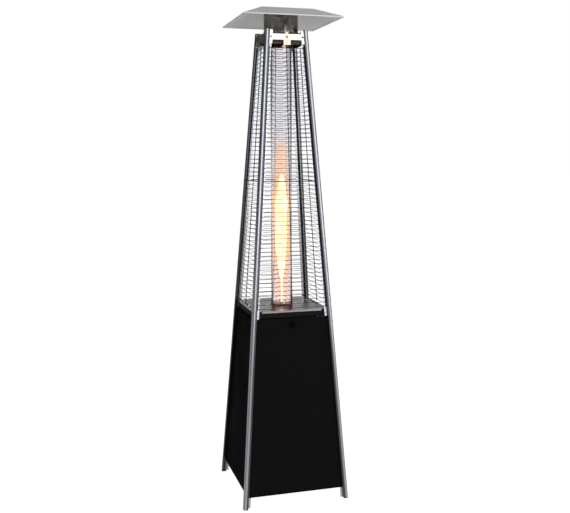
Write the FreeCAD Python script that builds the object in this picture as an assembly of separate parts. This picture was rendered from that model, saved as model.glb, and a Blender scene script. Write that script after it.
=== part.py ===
import FreeCAD, Part
import math
import os
from FreeCAD import Vector

# Pyramid gas patio heater: a closed cabinet for the gas bottle, a stainless deck with the burner, a
# glass flame tube behind four wire guards, and a square reflector hood. Units are millimetres.
# Origin: centre of the footprint on the floor. The door side is -Y, +X is to the right, +Z is up.

# ---------------------------------------------------------------- driving sizes
base_half = 255.0           # axis to the posts' outer face, at the floor
top_half = 100.0            # the same at the top of the posts
post_top = 2179.0           # height of the posts
joint_height = 870.0        # where a lower and an upper post meet
joint_gap = 0.3

post_body = 22.0            # square body of the post extrusion
post_corner_radius = 8.0
post_edge_radius = 2.0
post_wall = 1.8
groove_width = 2.6
groove_depth = 0.8
groove_offset = 8.5         # groove centre to the outer corner's far edge
fin_length = 12.5
fin_thickness = 1.5
fin_depth = 14.0            # outer face of the fin behind the post's outer face
sleeve_clearance = 0.2
sleeve_length = 90.0
sleeve_wall = 2.0
cap_height = 3.0
cap_plug_height = 15.0

seat_gap = 0.05             # between flat faces that are screwed together
edge_gap = 0.8              # between a panel's edge and the post beside it

panel_thickness = 1.0
panel_bottom = 65.0
panel_top = joint_height - 3.0
panel_fold = 12.0
door_bottom = 52.0
door_top = joint_height + 1.0
door_thickness = 1.2
door_depth = fin_depth - 4.6    # door's outer face behind the posts' outer face
door_rib_depth = 4.0
door_rib_inset = 6.0        # from the fin's edge to the door's stiffening rib
hem_radius = 2.5
peg_radius = 2.0
running_clearance = 0.05

screw_shank = 2.0
screw_clearance = 0.1

vent_hole_radius = 2.5
vent_pitch = 14.0
vent_columns = 14
vent_middle = 523.0
vent_middle_rows = 9
vent_top = panel_top - 25.0
vent_top_rows = 2
vent_low = panel_bottom + 32.0
vent_low_rows = 3

lock_height = door_top - 31.0
lock_knob_radius = 14.5
lock_knob_height = 13.0
lock_stem_radius = 4.0
lock_stud_radius = 2.5
lock_cam_length = 46.0
lock_cam_width = 13.0
lock_cam_thickness = 2.5
lock_cam_gap = 0.8          # between the raised cam and the band in front of it

tray_floor = 72.0
tray_sheet = 1.5
rivet_shank = 1.6
rivet_head = 3.4
ear_half = 6.5              # ears that rivet a frame behind the fins
ear_inset = 4.0
tray_fold = 14.0
tray_hole_radius = 9.0
tray_hole_circle = 100.0
bottle_ring_radius = 162.0
bottle_ring_height = 14.0
bottle_ring_wall = 2.0
bottle_ring_gaps = 3

band_bottom = door_top + 2.0    # black band between the door and the deck
band_sheet = 1.2
band_ledge = 12.0
deck_top = joint_height + 35.0
deck_sheet = 1.0
deck_lip = 8.0
deck_corner_cut = 34.0
deck_slot_length = 120.0
deck_slot_width = 9.0
deck_slot_inset = 14.0
deck_air_hole_radius = 6.0

fascia_bottom = panel_top - 86.0    # control fascia on the rear side
control_height = panel_top - 43.0
control_knob_x = -60.0
igniter_x = 60.0
control_box_half_width = 118.0
control_box_depth = 92.0
control_box_floor = fascia_bottom + 5.0
box_sheet = 1.0
igniter_window_half = 22.0  # windows in the control box, where the pipes and the wire leave it
pipe_window_half = 12.0
window_above = 28.0         # above the height of the controls
igniter_window_below = 27.0
pipe_window_below = 16.0
wire_notch_half = 4.0
inlet_hole_radius = 9.0

burner_cup_radius = 29.0
burner_cup_top = deck_top + 11.0
burner_cup_depth = 32.0
burner_sheet = 1.2
venturi_radius = 12.0
venturi_wall = 1.2
venturi_bottom = deck_top - 83.0
jet_height = deck_top - 99.0    # underside of the bracket that carries the jet
jet_strap_half = 34.0       # the bracket's strap: half its length, its feet's end, half its width
jet_foot_end = 50.0
jet_strap_half_width = 9.0
jet_strap_sheet = 2.0
supply_pipe_radius = 4.0
supply_pipe_height = deck_top - 123.0
pilot_pipe_radius = 3.0
lead_radius = 1.2
fitting_circle = 38.2       # pilot, thermocouple and electrode stand around the burner cup

valve_spindle_radius = 5.0
valve_block = 34.0
valve_depth = 46.0
valve_port_depth = 28.0     # centre of the gas port behind the fascia's outer face
knob_radius = 20.0
knob_skirt_radius = 27.0
knob_travel = 4.0
igniter_radius = 11.0
gas_inlet_radius = 6.5
igniter_plunger_radius = 6.0
igniter_travel = 6.0
tilt_box_x = -95.0
tilt_box_y = -70.0
tilt_box_size = 38.0
tilt_box_height = 52.0

tube_radius = 49.0
tube_wall = 3.0
tube_bottom = deck_top + 4.0
tube_top = post_top - 67.0
tube_fit = 0.5
tube_overlap = 8.0          # how far the upper collar reaches down around the tube

bracket_height = 26.0       # plate across two posts, near their tops
bracket_bottom = post_top - 47.0
bracket_sheet = 1.5
bracket_depth = 1.5
bracket_tab_width = 12.0
bracket_tab_bottom = post_top - 64.0
bracket_tab_top = post_top - 3.0
clip_width = 14.0
clip_pad_width = 33.0
clip_bottom = post_top - 69.0
clip_pad_top = bracket_bottom - 1.0
clip_pad_flare = 5.0
clip_top = post_top - 13.0
clip_sheet = 1.2
top_plate_sheet = 1.2
holder_top = post_top - 50.0    # plate around the top of the tube
holder_lip = 14.0

screen_radius = 79.0
screen_wall = 1.0
screen_bottom = post_top - 15.0
hood_top = post_top + 91.0
hood_top_half = 121.7
hood_rim_half = 226.6
hood_rim = post_top + 47.0
hood_sheet = 1.2
hood_lip = 5.0
hood_spacer_height = 4.0
hood_bolt_circle = 58.0

wire_pitch = 20.0
wire_radius = 1.3
guard_rod_radius = 2.0
guard_bottom = deck_top + 7.0
guard_weld = 0.5
guard_top = post_top - 73.0
cross_rod_radius = 2.4
cross_rod_height = 1490.0

wheel_radius = 25.0
wheel_width = 18.0
wheel_y = base_half - 8.0
wheel_arm_start = base_half - 65.0
wheel_centre_height = 26.0
wheel_x = 120.0
axle_radius = 4.0

# ---------------------------------------------------------------- values worked out from them
taper = (base_half - top_half) / post_top
slope_length = math.sqrt(1.0 + taper * taper)
fin_inner = fin_depth + fin_thickness
fin_edge = post_body + fin_length
SIDES = {"front": 0.0, "right": 90.0, "rear": 180.0, "left": 270.0}
PANEL_SPANS = (("left", panel_bottom, panel_top), ("right", panel_bottom, panel_top),
               ("rear", panel_bottom, fascia_bottom - 2.0), ("rear", fascia_bottom, panel_top))
CORNERS = {"front_left": 0.0, "front_right": 90.0, "rear_right": 180.0, "rear_left": 270.0}


def half(z):
    """Distance from the axis to the posts' outer face at a height."""
    return base_half - taper * z


# ---------------------------------------------------------------- helpers
def save(name, shapes):
    """Write one node; a list becomes a group of separate solids."""
    shape = Part.makeCompound(shapes) if isinstance(shapes, list) else shapes
    shape.exportStep("parts/" + name + ".step")


def turned(shape, angle):
    copy = shape.copy()
    copy.rotate(Vector(0, 0, 0), Vector(0, 0, 1), angle)
    return copy


def box(x0, x1, y0, y1, z0, z1):
    return Part.makeBox(x1 - x0, y1 - y0, z1 - z0, Vector(x0, y0, z0))


def rod(radius, start, end):
    """Solid cylinder from one point to another."""
    direction = end - start
    return Part.makeCylinder(radius, direction.Length, start, direction)


def disc(radius, z0, z1, x=0.0, y=0.0):
    return Part.makeCylinder(radius, z1 - z0, Vector(x, y, z0))


def ring(outer, inner, z0, z1, x=0.0, y=0.0):
    return disc(outer, z0, z1, x, y).cut(disc(inner, z0 - 1, z1 + 1, x, y))


def polygon(points):
    vectors = [Vector(*p) if len(p) == 3 else Vector(p[0], p[1], 0) for p in points]
    return Part.makePolygon(vectors + vectors[:1])


def slab(outline, holes, thickness):
    """Plate below the local XY plane: an outline and a list of hole wires, extruded down."""
    face = Part.makeFace([outline] + holes, "Part::FaceMakerBullseye")
    return face.extrude(Vector(0, 0, -thickness))


def circle(x, y, radius):
    return Part.Wire([Part.makeCircle(radius, Vector(x, y, 0))])


def slot(x, y, length, width):
    """Round-ended slot along local Y."""
    r = width / 2.0
    top = y + length / 2.0 - r
    low = y - length / 2.0 + r
    edges = [
        Part.Arc(Vector(x + r, top, 0), Vector(x, top + r, 0), Vector(x - r, top, 0)).toShape(),
        Part.LineSegment(Vector(x - r, top, 0), Vector(x - r, low, 0)).toShape(),
        Part.Arc(Vector(x - r, low, 0), Vector(x, low - r, 0), Vector(x + r, low, 0)).toShape(),
        Part.LineSegment(Vector(x + r, low, 0), Vector(x + r, top, 0)).toShape(),
    ]
    return Part.Wire(edges)


def on_wall(shape, side, x, z, depth):
    """Place a shape on a leaning wall. Its local Z points outwards and its local Y up the wall."""
    s, c = taper / slope_length, 1.0 / slope_length
    turn = FreeCAD.Matrix(1, 0, 0, x, 0, s, -c, -half(z) + depth, 0, c, s, z, 0, 0, 0, 1)
    placed = shape.copy()
    placed.transformShape(turn)
    return turned(placed, SIDES[side])


def wall_outline(z_low, z_high, z_ref, inset):
    """Trapezium in wall coordinates whose sides follow the posts, inset from their outer face."""
    low, high = half(z_low) - inset, half(z_high) - inset
    y_low, y_high = (z_low - z_ref) * slope_length, (z_high - z_ref) * slope_length
    return polygon([(-low, y_low), (low, y_low), (high, y_high), (-high, y_high)])


def swept_up(face, z_low, z_high):
    """Carry a horizontal face of the front left corner up along the leaning post."""
    rise = z_high - z_low
    return face.extrude(Vector(taper * rise, taper * rise, rise))


# ---------------------------------------------------------------- posts
def rounded_block(low, high, outer_radius, inner_radius):
    """Square block, 1 mm tall, of the front left corner, measured inwards from the outer corner."""
    body = Part.makeBox(high - low, high - low, 1.0, Vector(low, low, 0))
    corners = [(low, low, outer_radius), (high, low, inner_radius), (high, high, inner_radius),
               (low, high, inner_radius)]
    for x, y, radius in corners:
        body = body.makeFillet(radius, [e for e in body.Edges
                                        if e.CenterOfMass.isEqual(Vector(x, y, 0.5), 0.1)])
    return body


def underside(block):
    return [f for f in block.Faces if abs(f.CenterOfMass.z) < 1e-6][0]


def rounded_square(low, high, outer_radius, inner_radius):
    return underside(rounded_block(low, high, outer_radius, inner_radius))


def post_hollow(clearance=0.0):
    """Opening inside the post; a plug that fits it is smaller by the clearance."""
    low = post_wall + groove_depth + clearance
    high = post_body - post_wall - clearance
    return rounded_square(low, high, post_corner_radius - low, post_edge_radius)


def post_section():
    """Post body with two fins, a groove down each outer face, and its hollow."""
    block = rounded_block(0, post_body, post_corner_radius, post_edge_radius)
    root = post_body - post_edge_radius - 0.5
    for fin in (box(root, fin_edge, fin_depth, fin_inner, 0, 1),
                box(fin_depth, fin_inner, root, fin_edge, 0, 1)):
        block = block.fuse(fin)
    near = post_body - groove_offset - groove_width / 2.0
    far = near + groove_width
    for groove in (box(near, far, -1, groove_depth, -1, 2), box(-1, groove_depth, near, far, -1, 2)):
        block = block.cut(groove)
    return underside(block.removeSplitter()).cut(post_hollow()).Faces[0]


def at_corner(face, z):
    """Move a face of the front left corner to its place at a height."""
    copy = face.copy()
    copy.translate(Vector(-half(z), -half(z), z))
    return copy


def post_between(section, z_low, z_high):
    return swept_up(at_corner(section, z_low), z_low, z_high)


def build_posts():
    section = post_section()
    lower = post_between(section, cap_height, joint_height - joint_gap / 2.0)
    upper = post_between(section, joint_height + joint_gap / 2.0, post_top)
    peg_y = -half(door_pivot_height()) + door_depth + door_thickness / 2.0
    peg_hole = rod(peg_radius + running_clearance, Vector(-base_half, peg_y, door_pivot_height()),
                   Vector(base_half, peg_y, door_pivot_height()))
    keep = box(-half(door_pivot_height()) + post_body - post_wall - 1.0,
               half(door_pivot_height()) - post_body + post_wall + 1.0,
               peg_y - 10, peg_y + 10, 0, 2 * door_pivot_height())
    peg_hole = peg_hole.common(keep)
    fin_holes = Part.makeCompound(fin_hole_pins())
    for corner, angle in CORNERS.items():
        post = turned(lower, angle).cut(fin_holes)
        if corner.startswith("front"):
            post = post.cut(peg_hole)
        save("lower_post_" + corner, post)
    save("upper_posts", [turned(upper, angle).cut(fin_holes) for angle in CORNERS.values()])


def pin_on_wall(side, x, z, depth, radius):
    """Pin through a wall, for cutting the hole of a screw or rivet whose seat is at a depth."""
    return on_wall(Part.makeCylinder(radius, 24.0, Vector(0, 0, -20.0)), side, x, z, depth)


def rivet_pins():
    pins = []
    for side in SIDES:
        for sign in (-1, 1):
            for z in frame_rivet_heights():
                pins.append(pin_on_wall(side, sign * (half(z) - rivet_inset()), z, fin_depth - seat_gap,
                                        rivet_shank + running_clearance))
    return pins


def fin_hole_pins():
    """Pins that cut a hole through a fin wherever a screw, bolt or rivet passes it."""
    pins = rivet_pins()
    radius = screw_shank + running_clearance
    for side, z_low, z_high in PANEL_SPANS:
        for x, z in fin_screw_places(z_low + 15, z_high - 15):
            pins.append(pin_on_wall(side, x, z, panel_depth() - seat_gap, radius))
    for side in SIDES:
        for sign in (-1, 1):
            pins.append(pin_on_wall(side, sign * bracket_bolt_x(), bracket_mid(), bracket_depth, radius))
    return pins


def build_post_plugs():
    """Foot caps, joining sleeves and end caps: one of each in every post."""
    plug = post_hollow(sleeve_clearance)
    solid_foot = rounded_square(0, post_body, post_corner_radius, post_edge_radius)
    foot = post_between(solid_foot, 0, cap_height)
    foot = foot.fuse(post_between(plug, cap_height, cap_height + cap_plug_height)).removeSplitter()
    inside = post_wall + groove_depth + sleeve_clearance + sleeve_wall
    bore = rounded_square(inside, post_body - post_wall - sleeve_clearance - sleeve_wall,
                          post_corner_radius - inside, post_edge_radius / 2.0)
    low, high = joint_height - sleeve_length / 2.0, joint_height + sleeve_length / 2.0
    sleeve = post_between(plug, low, high).cut(post_between(bore, low, high))
    end = post_between(plug, post_top - cap_plug_height, post_top)
    save("post_caps", [turned(shape, a) for shape in (foot, end) for a in CORNERS.values()])
    save("post_joining_sleeves", [turned(sleeve, a) for a in CORNERS.values()])


# ---------------------------------------------------------------- cabinet walls
def panel_depth():
    """A panel's outer face, so that its back rests on the fins."""
    return fin_depth - seat_gap - panel_thickness * slope_length


def fin_screw_places(z_low, z_high):
    """Screw centres on the two fins beside a panel, near its lower and upper edge."""
    inset = post_body + fin_length * 0.6
    return [(sign * (half(z) - inset), z) for z in (z_low, z_high) for sign in (-1, 1)]


def vent_rows(z_middle, rows, z_ref):
    """Hole centres, rows staggered by half a pitch, as wall coordinates."""
    places = []
    for row in range(rows):
        shift = vent_pitch / 2.0 if row % 2 else 0.0
        y = (z_middle - z_ref) * slope_length + (row - (rows - 1) / 2.0) * vent_pitch
        for column in range(vent_columns - (row % 2)):
            places.append(((column - (vent_columns - 1) / 2.0) * vent_pitch + shift, y))
    return places


def cabinet_panel(side, z_low, z_high, vents):
    """Sheet that fills the gap between two posts, with an inward fold along its top."""
    z_ref = (z_low + z_high) / 2.0
    holes = [circle(x, y, vent_hole_radius) for x, y in vents(z_ref)]
    for x, z in fin_screw_places(z_low + 15, z_high - 15):
        holes.append(circle(x, (z - z_ref) * slope_length, screw_shank + screw_clearance))
    plate = slab(wall_outline(z_low, z_high, z_ref, post_body + edge_gap), holes, panel_thickness)
    width = half(z_high) - fin_edge - 3.0
    y = (z_high - z_ref) * slope_length
    fold = box(-width, width, y - panel_thickness, y, -panel_fold, -panel_thickness / 2.0)
    return on_wall(plate.fuse(fold).removeSplitter(), side, 0, z_ref, panel_depth())


def build_panels():
    def side_vents(z_ref):
        return (vent_rows(vent_middle, vent_middle_rows, z_ref)
                + vent_rows(vent_top, vent_top_rows, z_ref)
                + vent_rows(vent_low, vent_low_rows, z_ref))

    def rear_vents(z_ref):
        return (vent_rows(vent_middle, vent_middle_rows, z_ref)
                + vent_rows(vent_low, vent_low_rows, z_ref))

    save("side_panel_left", cabinet_panel("left", panel_bottom, panel_top, side_vents))
    save("side_panel_right", cabinet_panel("right", panel_bottom, panel_top, side_vents))
    save("rear_panel", cabinet_panel("rear", panel_bottom, fascia_bottom - 2.0, rear_vents))


def pan_head_screw(length, head_radius=4.2, head_height=2.4):
    """Screw with its head above the local XY plane and its shank below."""
    head = Part.makeCylinder(head_radius, head_height)
    head = head.makeFillet(head_height * 0.45, [e for e in head.Edges
                                                if abs(e.CenterOfMass.z - head_height) < 1e-6])
    recess = box(-0.6, 0.6, -2.2, 2.2, head_height * 0.5, head_height + 1)
    recess = recess.fuse(box(-2.2, 2.2, -0.6, 0.6, head_height * 0.5, head_height + 1))
    shank = Part.makeCylinder(screw_shank, length, Vector(0, 0, -length))
    return head.cut(recess).fuse(shank).removeSplitter()


def build_panel_screws():
    """Black screws that hold the three fixed panels and the fascia to the fins."""
    length = panel_thickness + seat_gap + fin_thickness + 2.0
    screws = []
    for side, z_low, z_high in PANEL_SPANS:
        for x, z in fin_screw_places(z_low + 15, z_high - 15):
            screws.append(on_wall(pan_head_screw(length), side, x, z, panel_depth() - seat_gap))
    save("panel_screws", screws)


# ---------------------------------------------------------------- door
def door_pivot_height():
    return door_bottom + hem_radius


def build_door():
    """Plate with a rolled hem at its foot, whose pegs turn in the two front posts."""
    z_ref = (door_bottom + door_top) / 2.0
    inset = post_body + edge_gap
    lock_hole = circle(0, (lock_height - z_ref) * slope_length, lock_stem_radius + running_clearance)
    low = door_pivot_height()
    plate = slab(wall_outline(low, door_top, z_ref, inset), [lock_hole], door_thickness)
    rib_inset = fin_edge + door_rib_inset
    rib = slab(wall_outline(low + 16, door_top - 16, z_ref, rib_inset),
               [wall_outline(low + 17.5, door_top - 17.5, z_ref, rib_inset + 1.5)],
               door_thickness + door_rib_depth)
    plate = plate.fuse(rib).removeSplitter()
    door = on_wall(plate, "front", 0, z_ref, door_depth)
    hem_half = half(low) - inset
    y = -half(low) + door_depth + door_thickness / 2.0
    peg_half = half(low) - post_body + post_wall + 1.0
    hem = rod(hem_radius, Vector(-hem_half, y, low), Vector(hem_half, y, low))
    peg = rod(peg_radius, Vector(-peg_half, y, low), Vector(peg_half, y, low))
    save("front_door", door.fuse(hem).fuse(peg).removeSplitter())


def build_door_lock():
    """Round knob outside the door, its stem through the door, and a cam behind it."""
    knob = Part.makeCylinder(lock_knob_radius, lock_knob_height, Vector(0, 0, 0.3))
    rims = [e for e in knob.Edges if e.CenterOfMass.z > lock_knob_height]
    knob = knob.makeFillet(2.5, rims)
    for i in range(12):
        angle = math.radians(30.0 * i)
        flute = Part.makeCylinder(1.6, lock_knob_height * 2, Vector(
            (lock_knob_radius + 0.7) * math.cos(angle), (lock_knob_radius + 0.7) * math.sin(angle), 0))
        knob = knob.cut(flute)
    cam_face = -(fin_inner + 2 * seat_gap + band_sheet - door_depth + lock_cam_gap)
    stem = Part.makeCylinder(lock_stem_radius, 0.5 - cam_face, Vector(0, 0, cam_face))
    knob = knob.fuse(stem).removeSplitter()
    tail = cam_face - lock_cam_thickness
    stud = Part.makeCylinder(lock_stud_radius, lock_cam_thickness + 5.0, Vector(0, 0, tail - 5.0))
    knob = knob.fuse(stud)
    cam_front = cam_face - seat_gap
    cam = Part.makeCylinder(lock_cam_width / 2.0, cam_front - tail, Vector(0, 0, tail))
    cam = cam.fuse(box(0, lock_cam_length, -lock_cam_width / 2.0, lock_cam_width / 2.0, tail, cam_front))
    hole = Part.makeCylinder(lock_stud_radius + running_clearance, 40, Vector(0, 0, tail - 20))
    cam = cam.cut(hole)
    nut = moved(hexagon(4.0, 3.2), 0, 0, tail - 3.2 - seat_gap).cut(hole)
    depth = door_depth
    save("door_lock_knob", on_wall(knob, "front", 0, lock_height, depth))
    save("door_lock_cam", [on_wall(shape, "front", 0, lock_height, depth)
                           for shape in (cam.removeSplitter(), nut)])


def hexagon(across_half, height):
    corners = [(across_half / math.cos(math.pi / 6) * math.cos(math.radians(60 * i)),
                across_half / math.cos(math.pi / 6) * math.sin(math.radians(60 * i))) for i in range(6)]
    return Part.Face(polygon(corners)).extrude(Vector(0, 0, height))


# ---------------------------------------------------------------- tray and bottle ring
def rivet_ears(z, y_low, y_high, sheet):
    """The two ears of a frame's wall that stand behind the fins, in that wall's coordinates."""
    x = half(z) - fin_edge + ear_inset
    return [box(sign * x - ear_half, sign * x + ear_half, y_low, y_high, -sheet, 0) for sign in (-1, 1)]


def frame_notch():
    """Depth of the notch that lets a frame's corner pass between the two fins of a post."""
    return fin_edge - fin_inner + 1.0


def notched_square(reach, notch, z):
    """Square face with its four corners cut back square."""
    points = []
    for quarter in range(4):
        a = math.radians(90 * quarter)
        for x, y in ((reach, -(reach - notch)), (reach, reach - notch), (reach - notch, reach - notch)):
            points.append((x * math.cos(a) - y * math.sin(a), x * math.sin(a) + y * math.cos(a), z))
    return Part.Face(polygon(points))


def build_tray():
    """Floor of the cabinet, with its edges folded down and screwed to the fins."""
    z_low = tray_floor - tray_fold
    gap = seat_gap * 2
    notch = frame_notch()
    floor = notched_square(half(tray_floor) - fin_inner - gap, notch, tray_floor)
    tray = floor.extrude(Vector(0, 0, -tray_sheet))
    outline = wall_outline(z_low, tray_floor, tray_floor, fin_inner + notch + gap)
    for side in SIDES:
        for piece in [slab(outline, [], tray_sheet)] + rivet_ears(tray_floor, -tray_fold, 0, tray_sheet):
            tray = tray.fuse(on_wall(piece, side, 0, tray_floor, fin_inner + gap))
    for x, y in polar_places(tray_hole_circle, 8, 22.5):
        tray = tray.cut(disc(tray_hole_radius, tray_floor - 5, tray_floor + 5, x, y))
    save("base_tray", tray.removeSplitter().cut(Part.makeCompound(rivet_pins())))
    collar = ring(bottle_ring_radius, bottle_ring_radius - bottle_ring_wall, tray_floor + seat_gap,
                  tray_floor + bottle_ring_height)
    for i in range(bottle_ring_gaps):
        gap_box = box(bottle_ring_radius - 20, bottle_ring_radius + 20, -25, 25,
                      tray_floor + 4, tray_floor + 100)
        collar = collar.cut(turned(gap_box, 360.0 / bottle_ring_gaps * i + 90))
    save("bottle_locating_ring", collar)


# ---------------------------------------------------------------- band, deck
def build_band():
    """Four black strips joined as a frame under the deck, fixed behind the fins."""
    z_top = deck_top - deck_sheet - seat_gap
    inset = fin_inner + seat_gap * 2
    rise = (z_top - band_bottom) * slope_length
    outline = wall_outline(band_bottom, z_top, band_bottom, inset + frame_notch())
    strips = []
    for side in SIDES:
        for piece in [slab(outline, [], band_sheet)] + rivet_ears(z_top, 0, rise, band_sheet):
            strips.append(on_wall(piece, side, 0, band_bottom, inset))
    frame = strips[0]
    for strip in strips[1:]:
        frame = frame.fuse(strip)
    ledge_half = half(z_top) - inset - 0.3
    ledge = notched_square(ledge_half, frame_notch(), z_top).extrude(Vector(0, 0, -band_sheet))
    opening = ledge_half - band_ledge
    hole = box(-opening, opening, -opening, opening, z_top - 5, z_top + 5)
    frame = frame.fuse(ledge.cut(hole)).removeSplitter()
    save("deck_support_band", frame.cut(Part.makeCompound(rivet_pins())))


def deck_half():
    """The deck's lip hangs just outside the band."""
    return half(deck_top - deck_lip) - fin_inner + 0.3 + deck_sheet


def octagon(reach, cut):
    """Square outline with its corners cut off at 45 degrees."""
    near = reach - cut
    return [(reach, -near), (reach, near), (near, reach), (-near, reach),
            (-reach, near), (-reach, -near), (-near, -reach), (near, -reach)]


def build_deck():
    """Stainless top of the cabinet: a sheet with its corners cut off and a lip along each side."""
    reach, near = deck_half(), deck_half() - deck_corner_cut
    z_low = deck_top - deck_lip
    outline = [(x, y, deck_top) for x, y in octagon(reach, deck_corner_cut)]
    deck = Part.Face(polygon(outline)).extrude(Vector(0, 0, -deck_sheet))
    for angle in SIDES.values():
        deck = deck.fuse(turned(box(-near, near, -reach, -reach + deck_sheet, z_low, deck_top), angle))
    deck = deck.cut(disc(burner_cup_radius + 0.5, z_low, deck_top + 1))
    for sign in (-1, 1):
        long_slot = Part.Face(slot(sign * (reach - deck_slot_inset), 0, deck_slot_length, deck_slot_width))
        long_slot.translate(Vector(0, 0, deck_top - 5))
        deck = deck.cut(long_slot.extrude(Vector(0, 0, 10)))
    for x, y in polar_places(tube_radius + 22, 4):
        deck = deck.cut(disc(deck_air_hole_radius, deck_top - 5, deck_top + 5, x, y))
    for x, y, radius in burner_fittings():
        deck = deck.cut(disc(radius + 0.3, deck_top - 5, deck_top + 5, x, y))
    save("deck_plate", deck.removeSplitter())


def polar_places(radius, count, start=0.0):
    turns = [math.radians(start + 360.0 * i / count) for i in range(count)]
    return [(radius * math.cos(a), radius * math.sin(a)) for a in turns]


# ---------------------------------------------------------------- burner and gas train
def wall_point(side, x, z, depth, local):
    """World place of a point given in the coordinates of a leaning wall."""
    vertex = Part.Vertex(Vector(*local))
    return on_wall(vertex, side, x, z, depth).Point


def bent_pipe(points, radius, bend):
    """Tube of straight runs joined by tangent arcs of one bend radius."""
    edges, here = [], points[0]
    for before, corner, after in zip(points, points[1:], points[2:]):
        arrive = (corner - before).normalize()
        leave = (after - corner).normalize()
        turn = arrive.getAngle(leave)
        reach = bend * math.tan(turn / 2.0)
        start, end = corner - arrive * reach, corner + leave * reach
        inward = (leave - arrive).normalize()
        middle = corner + inward * (bend / math.cos(turn / 2.0) - bend)
        edges.append(Part.LineSegment(here, start).toShape())
        edges.append(Part.Arc(start, middle, end).toShape())
        here = end
    edges.append(Part.LineSegment(here, points[-1]).toShape())
    path = Part.Wire(edges)
    direction = points[1] - points[0]
    profile = Part.Wire([Part.makeCircle(radius, points[0], direction)])
    return path.makePipeShell([profile], True, False)


def burner_fittings():
    """Place and radius of what stands beside the burner cup: pilot, thermocouple, electrode."""
    return [(fitting_circle, 0.0, pilot_pipe_radius + 1.0), (0.0, fitting_circle, 2.5),
            (-fitting_circle, 0.0, 3.0)]


def build_burner():
    cup_low = burner_cup_top - burner_cup_depth
    cup = ring(burner_cup_radius, burner_cup_radius - burner_sheet, cup_low, burner_cup_top)
    cup = cup.fuse(ring(burner_cup_radius, venturi_radius + 0.1, cup_low, cup_low + burner_sheet))
    cup = cup.fuse(ring(burner_cup_radius + 3.0, burner_cup_radius - burner_sheet,
                        deck_top + seat_gap, deck_top + seat_gap + burner_sheet))
    save("burner_cup", cup.removeSplitter())

    screen = disc(burner_cup_radius - burner_sheet - 0.1, burner_cup_top - 4.0, burner_cup_top - 3.0)
    for radius, count in ((6.0, 6), (12.0, 12), (18.0, 18), (23.5, 24)):
        for x, y in polar_places(radius, count):
            screen = screen.cut(disc(1.6, burner_cup_top - 10, burner_cup_top, x, y))
    save("burner_screen", screen)

    venturi = ring(venturi_radius, venturi_radius - venturi_wall, venturi_bottom,
                   cup_low + burner_sheet + 6.0)
    for angle in (0, 90):
        port = box(-40, 40, -4.0, 4.0, venturi_bottom + 8, venturi_bottom + 24)
        venturi = venturi.cut(turned(port, angle + 45))
    flare = ring(venturi_radius + 3.0, venturi_radius - venturi_wall, cup_low - burner_sheet, cup_low)
    save("venturi_tube", venturi.fuse(flare).removeSplitter())

    jet_top = venturi_bottom + 6.0
    jet = disc(5.0, jet_height + 0.05, jet_top).fuse(disc(3.9, jet_height - 8.0, jet_height + 1))
    jet = jet.fuse(moved(hexagon(6.5, 5.0), 0, 0, jet_height + 2.5))
    jet = jet.cut(disc(0.6, jet_height - 20, jet_top + 5)).cut(disc(2.5, jet_height - 20, jet_top - 3))
    save("gas_jet", jet.removeSplitter())

    low, high = jet_height, deck_top - deck_sheet - seat_gap
    wide, sheet = jet_strap_half_width, jet_strap_sheet
    strap = box(-jet_strap_half, jet_strap_half, -wide, wide, low, low + sheet)
    leg = box(jet_strap_half - sheet, jet_strap_half, -wide, wide, low, high)
    foot = box(jet_strap_half, jet_foot_end, -wide, wide, high - sheet, high)
    for angle in (0, 180):
        strap = strap.fuse(turned(leg, angle)).fuse(turned(foot, angle))
    strap = strap.cut(disc(5.05, low - 1, low + 3))
    cradle = ring(venturi_radius + 3.0, 5.05, low, low + sheet)
    save("jet_bracket", turned(strap.fuse(cradle).removeSplitter(), 45))


def moved(shape, x, y, z):
    copy = shape.copy()
    copy.translate(Vector(x, y, z))
    return copy


def valve_point(local_x, local_y, local_z):
    return wall_point("rear", control_knob_x, control_height, panel_depth(), (local_x, local_y, local_z))


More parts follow.
